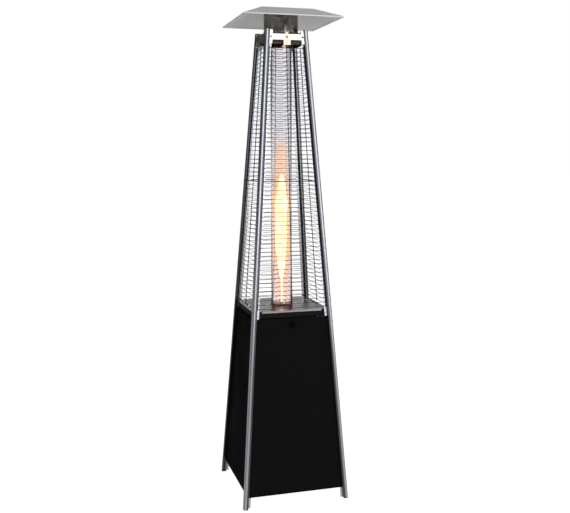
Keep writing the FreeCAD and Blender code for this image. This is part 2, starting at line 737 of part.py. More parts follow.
def build_pipes():
    """Supply pipe to the jet, pilot pipe, thermocouple with its lead, electrode and its wire."""
    back = -panel_thickness - seat_gap - valve_depth
    start = valve_point(0, 0, back - 0.1)
    low = supply_pipe_height
    supply = bent_pipe([start, valve_point(0, 0, back - 22), Vector(start.x, 40, low),
                        Vector(start.x, 0, low), Vector(0, 0, low), Vector(0, 0, jet_height - 8.1)],
                       supply_pipe_radius, 9.0)
    save("gas_supply_pipe", supply)

    fit_x = fitting_circle
    level = deck_top - 45.0
    start = valve_point(-9, 11, back - 0.1)
    ahead = valve_point(-9, 11, back - 16)
    pilot = bent_pipe([start, ahead, Vector(start.x, 30, level), Vector(fit_x, 0, level),
                       Vector(fit_x, 0, deck_top - 12)], pilot_pipe_radius * 0.6, 7.0)
    head = ring(pilot_pipe_radius, pilot_pipe_radius * 0.62, deck_top - 22, deck_top + 16, fit_x, 0)
    hood = disc(pilot_pipe_radius + 1.0, deck_top + 14, deck_top + 20, fit_x, 0)
    hood = hood.cut(disc(pilot_pipe_radius, deck_top + 13, deck_top + 18.5, fit_x, 0))
    hood = hood.cut(box(fit_x - 8, fit_x, -2, 2, deck_top + 10, deck_top + 18.5))
    flange = ring(pilot_pipe_radius + 2.2, pilot_pipe_radius * 0.62, deck_top + seat_gap, deck_top + 1.5,
                  fit_x, 0)
    save("pilot_pipe", pilot)
    save("pilot_burner", head.fuse(hood).fuse(flange).removeSplitter())

    start = valve_point(11, 11, back - 0.1)
    lead = bent_pipe([start, valve_point(11, 11, back - 18), Vector(start.x, 70, level + 10),
                      Vector(0, fitting_circle, level + 14), Vector(0, fitting_circle, deck_top - 14)],
                     lead_radius, 8.0)
    tip = disc(2.2, deck_top - 14.5, deck_top + 24, 0, fitting_circle)
    tip = tip.fuse(disc(4.5, deck_top + seat_gap, deck_top + 2.0, 0, fitting_circle))
    save("thermocouple", lead.fuse(tip).removeSplitter())

    spark = disc(2.7, deck_top - 20, deck_top + 12, -fit_x, 0)
    spark = spark.fuse(disc(4.5, deck_top + seat_gap, deck_top + 3.0, -fit_x, 0))
    needle = disc(0.8, deck_top + 12, deck_top + 24, -fit_x, 0)
    save("spark_electrode", spark.fuse(needle).removeSplitter())
    start = wall_point("rear", igniter_x, control_height, panel_depth(), (0, 0, -46.1))
    wire = bent_pipe([start, wall_point("rear", igniter_x, control_height, panel_depth(), (0, 0, -64)),
                      Vector(start.x, 30, level), Vector(-fit_x, 0, level),
                      Vector(-fit_x, 0, deck_top - 20.1)],
                     lead_radius, 8.0)
    save("igniter_wire", wire)


# ---------------------------------------------------------------- controls on the rear
def build_control_box():
    z_ref = (fascia_bottom + panel_top) / 2.0
    holes = []
    for x, radius in ((control_knob_x, valve_spindle_radius + 2.0), (igniter_x, igniter_radius + 0.1)):
        holes.append(circle(x, (control_height - z_ref) * slope_length, radius))
    for x, z in fin_screw_places(fascia_bottom + 15, panel_top - 15):
        holes.append(circle(x, (z - z_ref) * slope_length, screw_shank + screw_clearance))
    outline = wall_outline(fascia_bottom, panel_top, z_ref, post_body + edge_gap)
    save("control_fascia", on_wall(slab(outline, holes, panel_thickness), "rear", 0, z_ref, panel_depth()))

    def shell(inset, front):
        z0, z1 = control_box_floor + inset, panel_top - 2.0 - inset
        y_in = half(z_ref) - control_box_depth + inset

        def y_out(z):
            return half(z) - panel_depth() - panel_thickness * slope_length - seat_gap + front
        points = [(0, y_in, z0), (0, y_out(z0), z0), (0, y_out(z1), z1), (0, y_in, z1)]
        width = control_box_half_width - inset
        solid = Part.Face(polygon(points)).extrude(Vector(2 * width, 0, 0))
        return moved(solid, -width, 0, 0)

    housing = shell(0, 0).cut(shell(box_sheet, 10.0))
    y_in = half(z_ref) - control_box_depth
    top = control_height + window_above
    windows = [box(igniter_x - igniter_window_half, igniter_x + igniter_window_half, y_in - 3, y_in + 3,
                   control_height - igniter_window_below, top),
               box(control_knob_x - pipe_window_half, control_knob_x + pipe_window_half, y_in - 3, y_in + 3,
                   control_height - pipe_window_below, top),
               box(igniter_x - wire_notch_half, igniter_x + wire_notch_half, y_in - 3, y_in + 60,
                   control_box_floor - 2, control_box_floor + 3)]
    inlet = valve_point(0, 0, -valve_port_depth)
    windows.append(disc(inlet_hole_radius, control_box_floor - 3, control_box_floor + 3, inlet.x, inlet.y))
    for window in windows:
        housing = housing.cut(window)
    save("control_box", housing)


def flat_shaft(radius, z0, z1, flat):
    """Round shaft with one flat, like the end of a valve spindle."""
    return Part.makeCylinder(radius, z1 - z0, Vector(0, 0, z0)).cut(
        box(flat, radius + 1, -radius - 1, radius + 1, z0 - 1, z1 + 1))


def build_valve():
    """Valve block behind the fascia, its turning cone and spindle, and the push-and-turn knob."""
    face = -panel_thickness - seat_gap
    side = valve_block / 2.0
    body = box(-side, side, -side, side, face - valve_depth, face)
    upright = [e for e in body.Edges if abs(e.Vertexes[0].Point.z - e.Vertexes[1].Point.z) > 1]
    body = body.makeFillet(4.0, upright)
    bore = Part.makeCylinder(valve_spindle_radius + running_clearance, 40.0, Vector(0, 0, face - 36.0))
    body = body.cut(bore)
    port = -valve_port_depth
    down = Part.makeCylinder(8.0, 9.0, Vector(0, -side + 1, port), Vector(0, -1, 0))
    body = body.fuse(down).cut(Part.makeCylinder(3.0, 25, Vector(0, -side + 3, port), Vector(0, -1, 0)))
    save("valve_body", on_wall(body.removeSplitter(), "rear", control_knob_x, control_height, panel_depth()))

    inlet = Part.makeCylinder(5.9, 20, Vector(0, 0, 0))
    inlet = inlet.fuse(moved(hexagon(8.5, 6.0), 0, 0, 20))
    inlet = inlet.fuse(Part.makeCylinder(gas_inlet_radius, 16, Vector(0, 0, 26)))
    inlet = inlet.cut(Part.makeCylinder(3.0, 60, Vector(0, 0, -5)))
    inlet.rotate(Vector(0, 0, 0), Vector(1, 0, 0), 90)
    inlet = moved(inlet, 0, -side - 8.05, port)
    save("gas_inlet_fitting", on_wall(inlet, "rear", control_knob_x, control_height, panel_depth()))

    end = 18.0
    cone = Part.makeCylinder(valve_spindle_radius, 34.5 + 3.0, Vector(0, 0, face - 34.5))
    cone = cone.fuse(flat_shaft(3.0, 1.5, end, 2.0)).removeSplitter()
    save("valve_cone", on_wall(cone, "rear", control_knob_x, control_height, panel_depth()))

    low = knob_travel + 1.0
    skirt = Part.makeCylinder(knob_skirt_radius, 5.0, Vector(0, 0, low))
    grip = Part.makeCylinder(knob_radius, 22.0, Vector(0, 0, low))
    grip = grip.makeFillet(2.0, [e for e in grip.Edges if e.CenterOfMass.z > low + 21])
    for x, y in polar_places(knob_radius + 1.2, 16, 11.25):
        grip = grip.cut(Part.makeCylinder(2.4, 40.0, Vector(x, y, low + 5.0)))
    pointer = box(-1.2, 1.2, 6, knob_radius - 1.5, low + 21, low + 23)
    socket = flat_shaft(3.0 + running_clearance, low - 1, end + knob_travel + 1, 2.0 + running_clearance)
    hollow = Part.makeCylinder(valve_spindle_radius + 1.0, 4.0, Vector(0, 0, low - 1.0))
    knob = skirt.fuse(grip).fuse(pointer).cut(socket).cut(hollow).removeSplitter()
    save("control_knob", on_wall(knob, "rear", control_knob_x, control_height, panel_depth()))


def build_igniter():
    """Piezo igniter: a sleeve through the fascia and a button that travels into it."""
    body = Part.makeCylinder(igniter_radius, 46.0, Vector(0, 0, -46.0))
    body = body.fuse(Part.makeCylinder(igniter_radius + 3.5, 2.0, Vector(0, 0, seat_gap)))
    body = body.fuse(Part.makeCylinder(igniter_radius, 1.0))
    body = body.cut(Part.makeCylinder(igniter_plunger_radius + running_clearance, 40.0, Vector(0, 0, -28.0)))
    nut_bore = Part.makeCylinder(igniter_radius + 0.05, 20, Vector(0, 0, -5))
    nut = hexagon(igniter_radius + 3.5, 4.0).cut(nut_bore)
    nut = moved(nut, 0, 0, -panel_thickness - seat_gap - 4.0)
    stem = Part.makeCylinder(igniter_plunger_radius, 20.0 + igniter_travel + 2.6, Vector(0, 0, -20.0))
    head = Part.makeCylinder(igniter_radius - 1.5, 7.0, Vector(0, 0, igniter_travel + 2.6))
    head = head.makeFillet(1.5, [e for e in head.Edges if e.CenterOfMass.z > igniter_travel + 9])
    place = ("rear", igniter_x, control_height, panel_depth())
    save("igniter_body", [on_wall(shape, *place) for shape in (body.removeSplitter(), nut)])
    save("igniter_button", on_wall(stem.fuse(head).removeSplitter(), *place))


def build_tilt_switch():
    """Box under the deck with a weight that swings on a pin and breaks the circuit if it tilts."""
    size, top = tilt_box_size / 2.0, deck_top - deck_sheet - seat_gap
    x, y, low = tilt_box_x, tilt_box_y, top - tilt_box_height
    case = box(x - size, x + size, y - size, y + size, low, top)
    case = case.cut(box(x - size + 1.5, x + size - 1.5, y - size + 1.5, y + size - 1.5, low + 1.5, top - 1.5))
    pin_z = top - 9.0
    case = case.fuse(rod(1.5, Vector(x, y - size + 1, pin_z), Vector(x, y + size - 1, pin_z)))
    save("tilt_switch_case", case.removeSplitter())
    weight = disc(7.0, low + 6.0, low + 20.0, x, y)
    stem = disc(2.0, low + 19.0, pin_z, x, y).fuse(rod(3.2, Vector(x, y - 4, pin_z), Vector(x, y + 4, pin_z)))
    eye = rod(1.5 + running_clearance, Vector(x, y - 10, pin_z), Vector(x, y + 10, pin_z))
    save("tilt_switch_weight", weight.fuse(stem).cut(eye).removeSplitter())


# ---------------------------------------------------------------- flame tube
def build_tube():
    save("glass_tube", ring(tube_radius, tube_radius - tube_wall, tube_bottom, tube_top))
    collar_outer = tube_radius - tube_wall - tube_fit
    gasket = ring(tube_radius + 2.0, collar_outer + 0.1, deck_top + seat_gap, tube_bottom - seat_gap)
    save("tube_gasket", gasket)
    collar = ring(collar_outer, collar_outer - 1.2, deck_top + seat_gap, tube_bottom + 14.0)
    save("tube_locating_collar", collar)


def holder_depth():
    return fin_inner + 2 * seat_gap


def build_tube_holder():
    """Square plate around the top of the tube, lipped down and fixed behind the fins."""
    notch = frame_notch()
    plate = notched_square(half(holder_top) - holder_depth(), notch, holder_top)
    plate = plate.extrude(Vector(0, 0, -top_plate_sheet))
    outline = wall_outline(holder_top - holder_lip, holder_top, holder_top, holder_depth() + notch)
    for side in SIDES:
        lip = slab(outline, [], top_plate_sheet)
        for piece in [lip] + rivet_ears(holder_top, -holder_lip, 0, top_plate_sheet):
            plate = plate.fuse(on_wall(piece, side, 0, holder_top, holder_depth()))
    inner = tube_radius + tube_fit
    outer = inner + top_plate_sheet
    collar = ring(outer, inner, tube_top - tube_overlap, holder_top)
    plate = plate.fuse(disc(outer, holder_top - top_plate_sheet, holder_top))
    plate = plate.cut(disc(tube_radius - tube_wall, holder_top - 5, holder_top + 5)).fuse(collar)
    save("tube_top_holder", plate.removeSplitter().cut(Part.makeCompound(rivet_pins())))


# ---------------------------------------------------------------- brackets and clips at the top
def bracket_mid():
    return bracket_bottom + bracket_height / 2.0


def bracket_bolt_x():
    return half(bracket_mid()) - post_body - fin_length / 2.0


def build_brackets():
    """Bright plate across each pair of posts, set forward of the fins, with its bolts and screws."""
    z_ref = bracket_mid()
    edge = half(z_ref) - post_body - 0.6
    up = bracket_height / 2.0
    bar = box(-edge + 1, edge - 1, -up, up, -bracket_sheet, 0)
    low_y = (bracket_tab_bottom - z_ref) * slope_length
    high_y = (bracket_tab_top - z_ref) * slope_length
    drop = fin_depth - bracket_depth - seat_gap * 2
    for sign in (-1, 1):
        x0, x1 = sorted((sign * (edge - bracket_tab_width), sign * edge))
        slope = -taper * sign

        def tab(inner, outer, z0, z1):
            a, b = sorted((sign * inner, sign * outer))
            return Part.Face(polygon([(a + slope * low_y, low_y), (b + slope * low_y, low_y),
                                      (b + slope * high_y, high_y), (a + slope * high_y, high_y)])
                             ).extrude(Vector(0, 0, z1 - z0)).translated(Vector(0, 0, z0))
        bar = bar.fuse(tab(edge - bracket_tab_width, edge, -bracket_sheet, 0))
        bar = bar.fuse(tab(edge - bracket_sheet, edge, -drop, 0))
        bar = bar.fuse(tab(edge - bracket_tab_width, edge, -drop, -drop + bracket_sheet))
        bar = bar.cut(Part.makeCylinder(screw_shank + 0.1, 40, Vector(sign * bracket_bolt_x(), 0, -30)))
        rivet_z = holder_top - holder_lip / 2.0
        rivet_y = (rivet_z - z_ref) * slope_length + drop * taper
        rivet_place = Vector(sign * (half(rivet_z) - rivet_inset()), rivet_y, -drop - 1)
        bar = bar.cut(Part.makeCylinder(rivet_head + 0.5, bracket_sheet + 2, rivet_place))
    bar = bar.cut(Part.makeCylinder(screw_shank + 0.1, 10, Vector(0, 0, -5))).removeSplitter()
    bolt = pan_head_screw(drop + fin_thickness + 6.0, 4.0, 2.6)
    nut = hexagon(3.6, 3.0).cut(Part.makeCylinder(screw_shank + 0.05, 20, Vector(0, 0, -5)))
    nut = moved(nut, 0, 0, -drop - fin_thickness - seat_gap * 4 - 3.0)
    bars, bolts, nuts = [], [], []
    for side in SIDES:
        bars.append(on_wall(bar, side, 0, z_ref, bracket_depth))
        for sign in (-1, 1):
            place = (side, sign * bracket_bolt_x(), z_ref, bracket_depth)
            bolts.append(on_wall(bolt, *place))
            nuts.append(on_wall(nut, *place))
    save("top_brackets", bars)
    save("bracket_fasteners", bolts + nuts + build_clips())


def build_clips():
    """Spring clips: screwed to the brackets, wider at the foot, with a tongue in to the tube."""
    z_ref = bracket_mid()
    top, pad_top, low = [(z - z_ref) * slope_length for z in (clip_top, clip_pad_top, clip_bottom)]
    sheet = clip_sheet
    w, p = clip_width / 2.0, clip_pad_width / 2.0
    flare = pad_top + clip_pad_flare
    outline = polygon([(-w, top), (-w, flare), (-p, pad_top), (-p, low), (p, low), (p, pad_top),
                       (w, flare), (w, top)])
    clip = slab(outline, [circle(0, 0, screw_shank + 0.1)], sheet)
    clip = moved(clip, 0, 0, sheet + seat_gap)
    reach = half(clip_bottom) - bracket_depth - tube_radius - 2.2
    tongue = box(-p, p, low, low + sheet, -reach, sheet)
    toe = box(-w, w, low - 12, low + sheet, -reach, -reach + sheet)
    clip = clip.fuse(tongue).fuse(toe).removeSplitter()
    screw = pan_head_screw(6.0, 3.6, 2.0)
    clips, screws = [], []
    for side in SIDES:
        clips.append(on_wall(clip, side, 0, z_ref, bracket_depth))
        screws.append(on_wall(screw, side, 0, z_ref, bracket_depth - sheet - seat_gap * 2))
    save("tube_clips", clips)
    return screws


def build_top_plate():
    """Plate under the flame screen, with a round outlet and lips against the brackets."""
    depth = bracket_depth + (bracket_sheet + seat_gap) * slope_length
    top = screen_bottom - seat_gap
    notch = fin_edge + 2.0
    plate = notched_square(half(top) - depth, notch, top).extrude(Vector(0, 0, -top_plate_sheet))
    low = bracket_bottom + bracket_height - 8.0
    for side in SIDES:
        outline = wall_outline(low, top, top, notch + 2.0)
        plate = plate.fuse(on_wall(slab(outline, [], top_plate_sheet), side, 0, top, depth))
    plate = plate.cut(disc(screen_radius - 12.0, top - 5, top + 5))
    save("top_plate", plate.removeSplitter())


# ---------------------------------------------------------------- flame screen and hood
def hood_under_top():
    return hood_top - hood_sheet


def build_screen():
    lid = hood_under_top() - hood_spacer_height
    screen = ring(screen_radius, screen_radius - screen_wall, screen_bottom, lid)
    screen = screen.fuse(disc(screen_radius, lid - screen_wall, lid))
    screen = screen.fuse(ring(screen_radius, screen_radius - 8.0, screen_bottom, screen_bottom + screen_wall))
    for x, y in polar_places(hood_bolt_circle, 4, 45):
        screen = screen.cut(disc(2.6, lid - 5, lid + 5, x, y))
    save("flame_screen", screen.removeSplitter())


def square_ring(reach, z):
    return [Vector(x * reach, y * reach, z) for x, y in ((-1, -1), (1, -1), (1, 1), (-1, 1))]


def solid_from_rings(rings):
    """Closed solid with flat faces through a stack of square outlines."""
    faces = [Part.Face(Part.makePolygon(rings[0] + rings[0][:1])),
             Part.Face(Part.makePolygon(rings[-1] + rings[-1][:1]))]
    for low, high in zip(rings, rings[1:]):
        for i in range(4):
            j = (i + 1) % 4
            quad = [low[i], low[j], high[j], high[i], low[i]]
            faces.append(Part.Face(Part.makePolygon(quad)))
    solid = Part.Solid(Part.makeShell(faces))
    return solid if solid.Volume > 0 else solid.reversed()


def build_hood():
    """Square reflector hood: a flat top, four sloping sides and a short turned-down rim."""
    outer = solid_from_rings([square_ring(hood_rim_half, hood_rim - hood_lip),
                              square_ring(hood_rim_half, hood_rim),
                              square_ring(hood_top_half, hood_top)])
    slope = math.atan2(hood_top - hood_rim, hood_rim_half - hood_top_half)
    drop = hood_sheet / math.cos(slope)
    run = (hood_rim_half - hood_top_half) / (hood_top - hood_rim)
    inner_rim = hood_rim_half - hood_sheet
    inner_rim_z = hood_rim - drop + hood_sheet / run
    inner_top_half = hood_top_half - (drop - hood_sheet) * run
    inner = solid_from_rings([square_ring(inner_rim, hood_rim - hood_lip - 5),
                              square_ring(inner_rim, inner_rim_z),
                              square_ring(inner_top_half, hood_under_top())])
    hood = outer.cut(inner)
    lid = hood_under_top() - hood_spacer_height
    spacers, bolts, nuts = [], [], []
    for x, y in polar_places(hood_bolt_circle, 4, 45):
        hood = hood.cut(disc(2.6, hood_top - 5, hood_top + 5, x, y))
        spacers.append(ring(6.0, 2.6, lid + seat_gap, hood_under_top() - seat_gap, x, y))
        bolt = disc(2.5, lid - 3, hood_top + 4.0, x, y)
        under = lid - screen_wall - seat_gap
        bolts.append(bolt.fuse(disc(5.0, under - 3.0, under, x, y)).removeSplitter())
        dome = disc(4.5, hood_top + seat_gap, hood_top + 6.5, x, y)
        dome = dome.makeFillet(2.5, [e for e in dome.Edges if e.CenterOfMass.z > hood_top + 6])
        dome = dome.fuse(disc(7.0, hood_top + seat_gap, hood_top + 1.2, x, y))
        nuts.append(dome.cut(disc(2.55, hood_top - 1, hood_top + 4.2, x, y)).removeSplitter())
    save("hood", hood)
    save("hood_bolts", bolts + nuts + spacers)


# ---------------------------------------------------------------- wire guards
def build_guards():
    """Welded wire grid in each opening between the upper posts: edge rods, a middle rod, rungs."""
    z_ref = (guard_bottom + guard_top) / 2.0
    rod_inset = post_body + guard_rod_radius + 1.6
    rod_z = guard_rod_radius
    span = (guard_top - guard_bottom) * slope_length / 2.0
    uprights = []
    for sign in (-1, 0, 1):
        low = Vector(sign * (half(guard_bottom) - rod_inset), -span, rod_z)
        high = Vector(sign * (half(guard_top) - rod_inset), span, rod_z)
        uprights.append(rod(guard_rod_radius, low, high))
    rungs = []
    count = int((guard_top - guard_bottom) / wire_pitch)
    cross = round((cross_rod_height - guard_bottom) / wire_pitch)
    for i in range(count + 1):
        z = guard_bottom + 4.0 + i * wire_pitch
        radius = cross_rod_radius if i == cross else wire_radius
        reach = half(z) - post_body - 0.8
        y = (z - z_ref) * slope_length
        lift = 2 * guard_rod_radius + radius - guard_weld
        if z < guard_top:
            rungs.append(rod(radius, Vector(-reach, y, lift), Vector(reach, y, lift)))
    grid = uprights[0].multiFuse(uprights[1:] + rungs)
    for side in SIDES:
        save("guard_" + side, on_wall(grid, side, 0, z_ref, fin_depth - seat_gap))


# ---------------------------------------------------------------- wheels
def build_wheels():
    """Two small wheels behind the cabinet on a bracket under the tray, clear of the floor at rest."""
    under = tray_floor - tray_sheet - seat_gap
    back = half(tray_floor) - fin_inner - tray_sheet - 1.5
    start = wheel_arm_start
    arm = polygon([(0, start, under), (0, back, under), (0, back, tray_floor - tray_fold - 1.0),
                   (0, wheel_y + 7, wheel_centre_height + 8), (0, wheel_y, wheel_centre_height - 10),
                   (0, wheel_y - 9, wheel_centre_height - 8), (0, start, under - 10)])
    arm = Part.Face(arm).extrude(Vector(2.5, 0, 0))
    hole = rod(axle_radius + running_clearance, Vector(-200, wheel_y, wheel_centre_height),
               Vector(200, wheel_y, wheel_centre_height))
    reach = wheel_x - wheel_width / 2.0 - 6.0
    bracket = moved(arm, reach - 2.5, 0, 0).fuse(moved(arm, -reach, 0, 0))
    bracket = bracket.fuse(box(-reach, reach, start, back, under - 2.5, under)).cut(hole)
    save("wheel_bracket", bracket.removeSplitter())
    end = wheel_x + wheel_width / 2.0 + 6.0
    save("wheel_axle", rod(axle_radius, Vector(-end, wheel_y, wheel_centre_height),
                           Vector(end, wheel_y, wheel_centre_height)))
    caps = []
    for sign, name in ((-1, "left"), (1, "right")):
        x0 = sign * wheel_x - wheel_width / 2.0
        wheel = rod(wheel_radius, Vector(x0, wheel_y, wheel_centre_height),
                    Vector(x0 + wheel_width, wheel_y, wheel_centre_height))
        wheel = wheel.makeFillet(3.0, [e for e in wheel.Edges if e.Length > 100 and e.Closed])
        bore = rod(axle_radius + 0.08, Vector(x0 - 5, wheel_y, wheel_centre_height),
                   Vector(x0 + wheel_width + 5, wheel_y, wheel_centre_height))
        for x_from, x_to in ((x0 - 1, x0 + 4), (x0 + wheel_width - 4, x0 + wheel_width + 1)):
            outer = rod(wheel_radius - 6, Vector(x_from, wheel_y, wheel_centre_height),
                        Vector(x_to, wheel_y, wheel_centre_height))
            hub = rod(8.0, Vector(x_from - 1, wheel_y, wheel_centre_height),
                      Vector(x_to + 1, wheel_y, wheel_centre_height))
            wheel = wheel.cut(outer.cut(hub))
        save("wheel_" + name, wheel.cut(bore))
        cap = rod(7.0, Vector(sign * (end - 4.0), wheel_y, wheel_centre_height),
                  Vector(sign * (end + 2.0), wheel_y, wheel_centre_height))
        recess = rod(axle_radius + 0.02, Vector(sign * (end - 5.0), wheel_y, wheel_centre_height),
                     Vector(sign * end, wheel_y, wheel_centre_height))
        caps.append(cap.cut(recess))
    save("axle_caps", caps)


# ---------------------------------------------------------------- rivets that hold the frames
def build_rivets():
    """Rivets through the fins that hold the tray, the band, the tube holder."""
    rivets = []
    for z in frame_rivet_heights():
        for side in SIDES:
            for sign in (-1, 1):
                head = Part.makeCylinder(rivet_head, 1.0)
                head = head.fuse(Part.makeCylinder(rivet_shank, 3.2, Vector(0, 0, -3.2)))
                rivets.append(on_wall(head.removeSplitter(), side, sign * (half(z) - rivet_inset()), z,
                                      fin_depth - seat_gap))
    save("frame_rivets", rivets)


def rivet_inset():
    return post_body + fin_length * 0.62


def frame_rivet_heights():
    return [tray_floor - tray_fold + 3.0, band_bottom + 12.0, holder_top - holder_lip / 2.0]


def main():
    os.makedirs("parts", exist_ok=True)
    for step in (build_posts, build_post_plugs, build_panels, build_panel_screws, build_door,
                 build_door_lock, build_tray, build_band, build_deck, build_burner, build_pipes,
                 build_control_box, build_valve, build_igniter, build_tilt_switch, build_tube,
                 build_tube_holder, build_brackets, build_top_plate, build_screen, build_hood,
                 build_guards, build_wheels, build_rivets):
        step()


main()
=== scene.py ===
"""Outdoor heater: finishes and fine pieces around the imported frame. All sizes are in metres."""
import math

import bmesh
import bpy
import numpy as np
from bpy.props import FloatProperty, FloatVectorProperty, IntProperty, PointerProperty
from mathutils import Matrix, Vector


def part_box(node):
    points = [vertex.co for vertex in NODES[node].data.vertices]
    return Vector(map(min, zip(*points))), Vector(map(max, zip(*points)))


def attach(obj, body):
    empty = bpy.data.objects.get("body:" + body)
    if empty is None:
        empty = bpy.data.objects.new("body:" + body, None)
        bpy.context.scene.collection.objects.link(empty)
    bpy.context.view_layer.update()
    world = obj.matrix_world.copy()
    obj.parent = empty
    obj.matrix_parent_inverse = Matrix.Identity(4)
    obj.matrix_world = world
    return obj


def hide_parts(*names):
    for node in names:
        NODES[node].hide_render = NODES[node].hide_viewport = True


bl_info = {
    "name": "Outdoor heater",
    "version": (1, 0, 0),
    "blender": (4, 5, 0),
    "location": "3D View > Sidebar > Heater",
    "description": "Finishes, flame, glass, flame screen, hood and small parts of a pyramid gas heater",
    "category": "Add Mesh",
}

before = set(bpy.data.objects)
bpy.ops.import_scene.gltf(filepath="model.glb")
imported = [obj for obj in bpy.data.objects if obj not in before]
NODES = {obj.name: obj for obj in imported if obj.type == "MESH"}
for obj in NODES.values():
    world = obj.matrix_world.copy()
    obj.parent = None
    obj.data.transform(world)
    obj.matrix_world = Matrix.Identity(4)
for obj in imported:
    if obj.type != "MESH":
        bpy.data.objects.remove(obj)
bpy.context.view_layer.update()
TUBE_LOW, TUBE_HIGH = [np.array(painted_corner_shade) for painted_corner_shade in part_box("glass_tube")]
SCREEN_LOW, SCREEN_HIGH = [np.array(painted_corner_shade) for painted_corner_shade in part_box("flame_screen")]
HOOD_FOOT = float(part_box("hood")[0][2])
TUBE_RADIUS = float(TUBE_HIGH[0])
SCREEN_RADIUS = float(SCREEN_HIGH[0])
FOOT_HALF = float(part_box("post_caps")[1][0])
POST_TOP = float(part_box("upper_posts")[1][2])
POST_TOP_HALF = 0.1
POST_BODY = 0.022
POST_GROOVE = 0.0135
TAPER = (FOOT_HALF - POST_TOP_HALF) / POST_TOP
HOOD_LIP = 0.005
GLASS_WALL = 0.003
SCREEN_WALL = 0.001
SCREEN_BAND = 0.006
BAND_WALL = 0.0016
BAND_OVERLAP = 0.0008
LID_SHEET = 0.0012
LID_INSET = 0.002
LID_BORE = 0.0006
FLAME_CLEARANCE = 0.002
COOL_FROM, COOL_SPAN = 0.62, 0.2

# outlines of the flame's shells: share of its height, half width there, and how much of it shows
FLAME_VEIL = ((0.00, 0.022, 0.00), (0.05, 0.024, 0.35), (0.18, 0.030, 0.60), (0.30, 0.042, 0.85),
              (0.66, 0.042, 0.90), (0.78, 0.031, 0.60), (0.92, 0.023, 0.45), (1.00, 0.017, 0.00))
FLAME_BODY = ((0.00, 0.005, 0.00), (0.04, 0.006, 0.30), (0.15, 0.011, 0.45), (0.22, 0.020, 0.70),
              (0.32, 0.033, 0.95), (0.62, 0.036, 0.95), (0.74, 0.023, 0.80), (0.82, 0.019, 0.66),
              (0.93, 0.018, 0.62), (1.00, 0.013, 0.10))
FLAME_CORE = ((0.00, 0.0015, 0.20), (0.05, 0.0025, 0.80), (0.18, 0.004, 1.00), (0.24, 0.010, 1.00),
              (0.32, 0.018, 1.00), (0.42, 0.026, 1.00), (0.75, 0.028, 1.00), (0.88, 0.019, 0.90),
              (0.96, 0.012, 0.60), (1.00, 0.006, 0.00))
# each shell: name, outline, colour setting, glow, how much shows, share of the flame's height
FLAME_SHELLS = (("flame_veil", FLAME_VEIL, "flame_edge", 1.35, 0.40, 1.0),
                ("flame_body", FLAME_BODY, "flame_body", 1.7, 0.62, 0.985),
                ("flame_core", FLAME_CORE, "flame_core", 7.0, 0.90, 0.78))
# each light: name, place, the point it faces, width and height, brightness
LIGHTS = (("key_panel", (0.96, -3.5, 2.11), (0, 0, 2.11), (1.05, 2.98), 1.6),
          ("left_strip", (-3.0, -0.9, 1.7), (0, 0, 1.3), (0.12, 2.9), 2.5),
          ("right_strip", (2.9, -1.4, 1.7), (0, 0, 1.3), (0.12, 2.9), 6.0),
          ("rear_panel_light", (0.7, 3.4, 1.6), (0, 0, 1.0), (1.6, 1.2), 0.5),
          ("top_panel", (0.2, -0.9, 3.9), (0, 0, 2.2), (1.8, 1.6), 1.65))
LIT_SIDE = (0.27, -0.95, 0.16)
LIT_STRENGTH = 0.20


# ---------------------------------------------------------------- sizes and colours a user may change
class HeaterSizes(bpy.types.PropertyGroup):
    flame_height: FloatProperty(name="Flame height", description="Height of the flame above the burner",
                                default=0.79, unit="LENGTH")
    flame_glow: FloatProperty(name="Flame glow", description="Brightness of the whole flame", default=1.0)
    screen_hole: FloatProperty(name="Screen hole", description="Diameter of the flame screen's holes",
                               default=0.0034, unit="LENGTH")
    screen_rows: IntProperty(name="Screen rows", description="Rows of holes up the flame screen", default=18)


class HeaterColours(bpy.types.PropertyGroup):
    powder_coat: FloatVectorProperty(name="Powder coat", description="Cabinet paint", subtype="COLOR",
                                     default=(0.0042, 0.0042, 0.0044))
    post_metal: FloatVectorProperty(name="Post metal", description="Brushed extrusion", subtype="COLOR",
                                    default=(0.47, 0.49, 0.53))
    # colour of the painted shade on the faces of the posts turned inwards
    post_inside_painted_shade: FloatVectorProperty(name="Post inside", description="Dark inner faces of the posts",
                                     subtype="COLOR", default=(0.030, 0.031, 0.032))
    steel: FloatVectorProperty(name="Stainless", description="Deck and brackets", subtype="COLOR",
                               default=(0.72, 0.71, 0.69))
    hood_metal: FloatVectorProperty(name="Hood sheet", description="Matt reflector sheet", subtype="COLOR",
                                    default=(0.78, 0.78, 0.76))
    flame_core: FloatVectorProperty(name="Flame core", description="Hottest part of the flame",
                                    subtype="COLOR", default=(0.60, 0.78, 1.0))
    flame_body: FloatVectorProperty(name="Flame body", description="Part around the core",
                                    subtype="COLOR", default=(1.0, 0.80, 0.74))
    flame_edge: FloatVectorProperty(name="Flame edge", description="Faint veil around the flame",
                                    subtype="COLOR", default=(1.0, 0.80, 0.70))
    flame_top: FloatVectorProperty(name="Flame top", description="Cooler top of the flame", subtype="COLOR",
                                   default=(1.0, 0.60, 0.33))
    glass_tint: FloatVectorProperty(name="Glass tint", description="Grey of the glass high up",
                                    subtype="COLOR", default=(0.71, 0.70, 0.72))
    # painted glow: pink that the flame's light gives the glass by the burner, put into its colour
    painted_flame_glow: FloatVectorProperty(name="Warm glass", description="Pink of the glass by the burner",
                                    subtype="COLOR", default=(0.84, 0.72, 0.69))


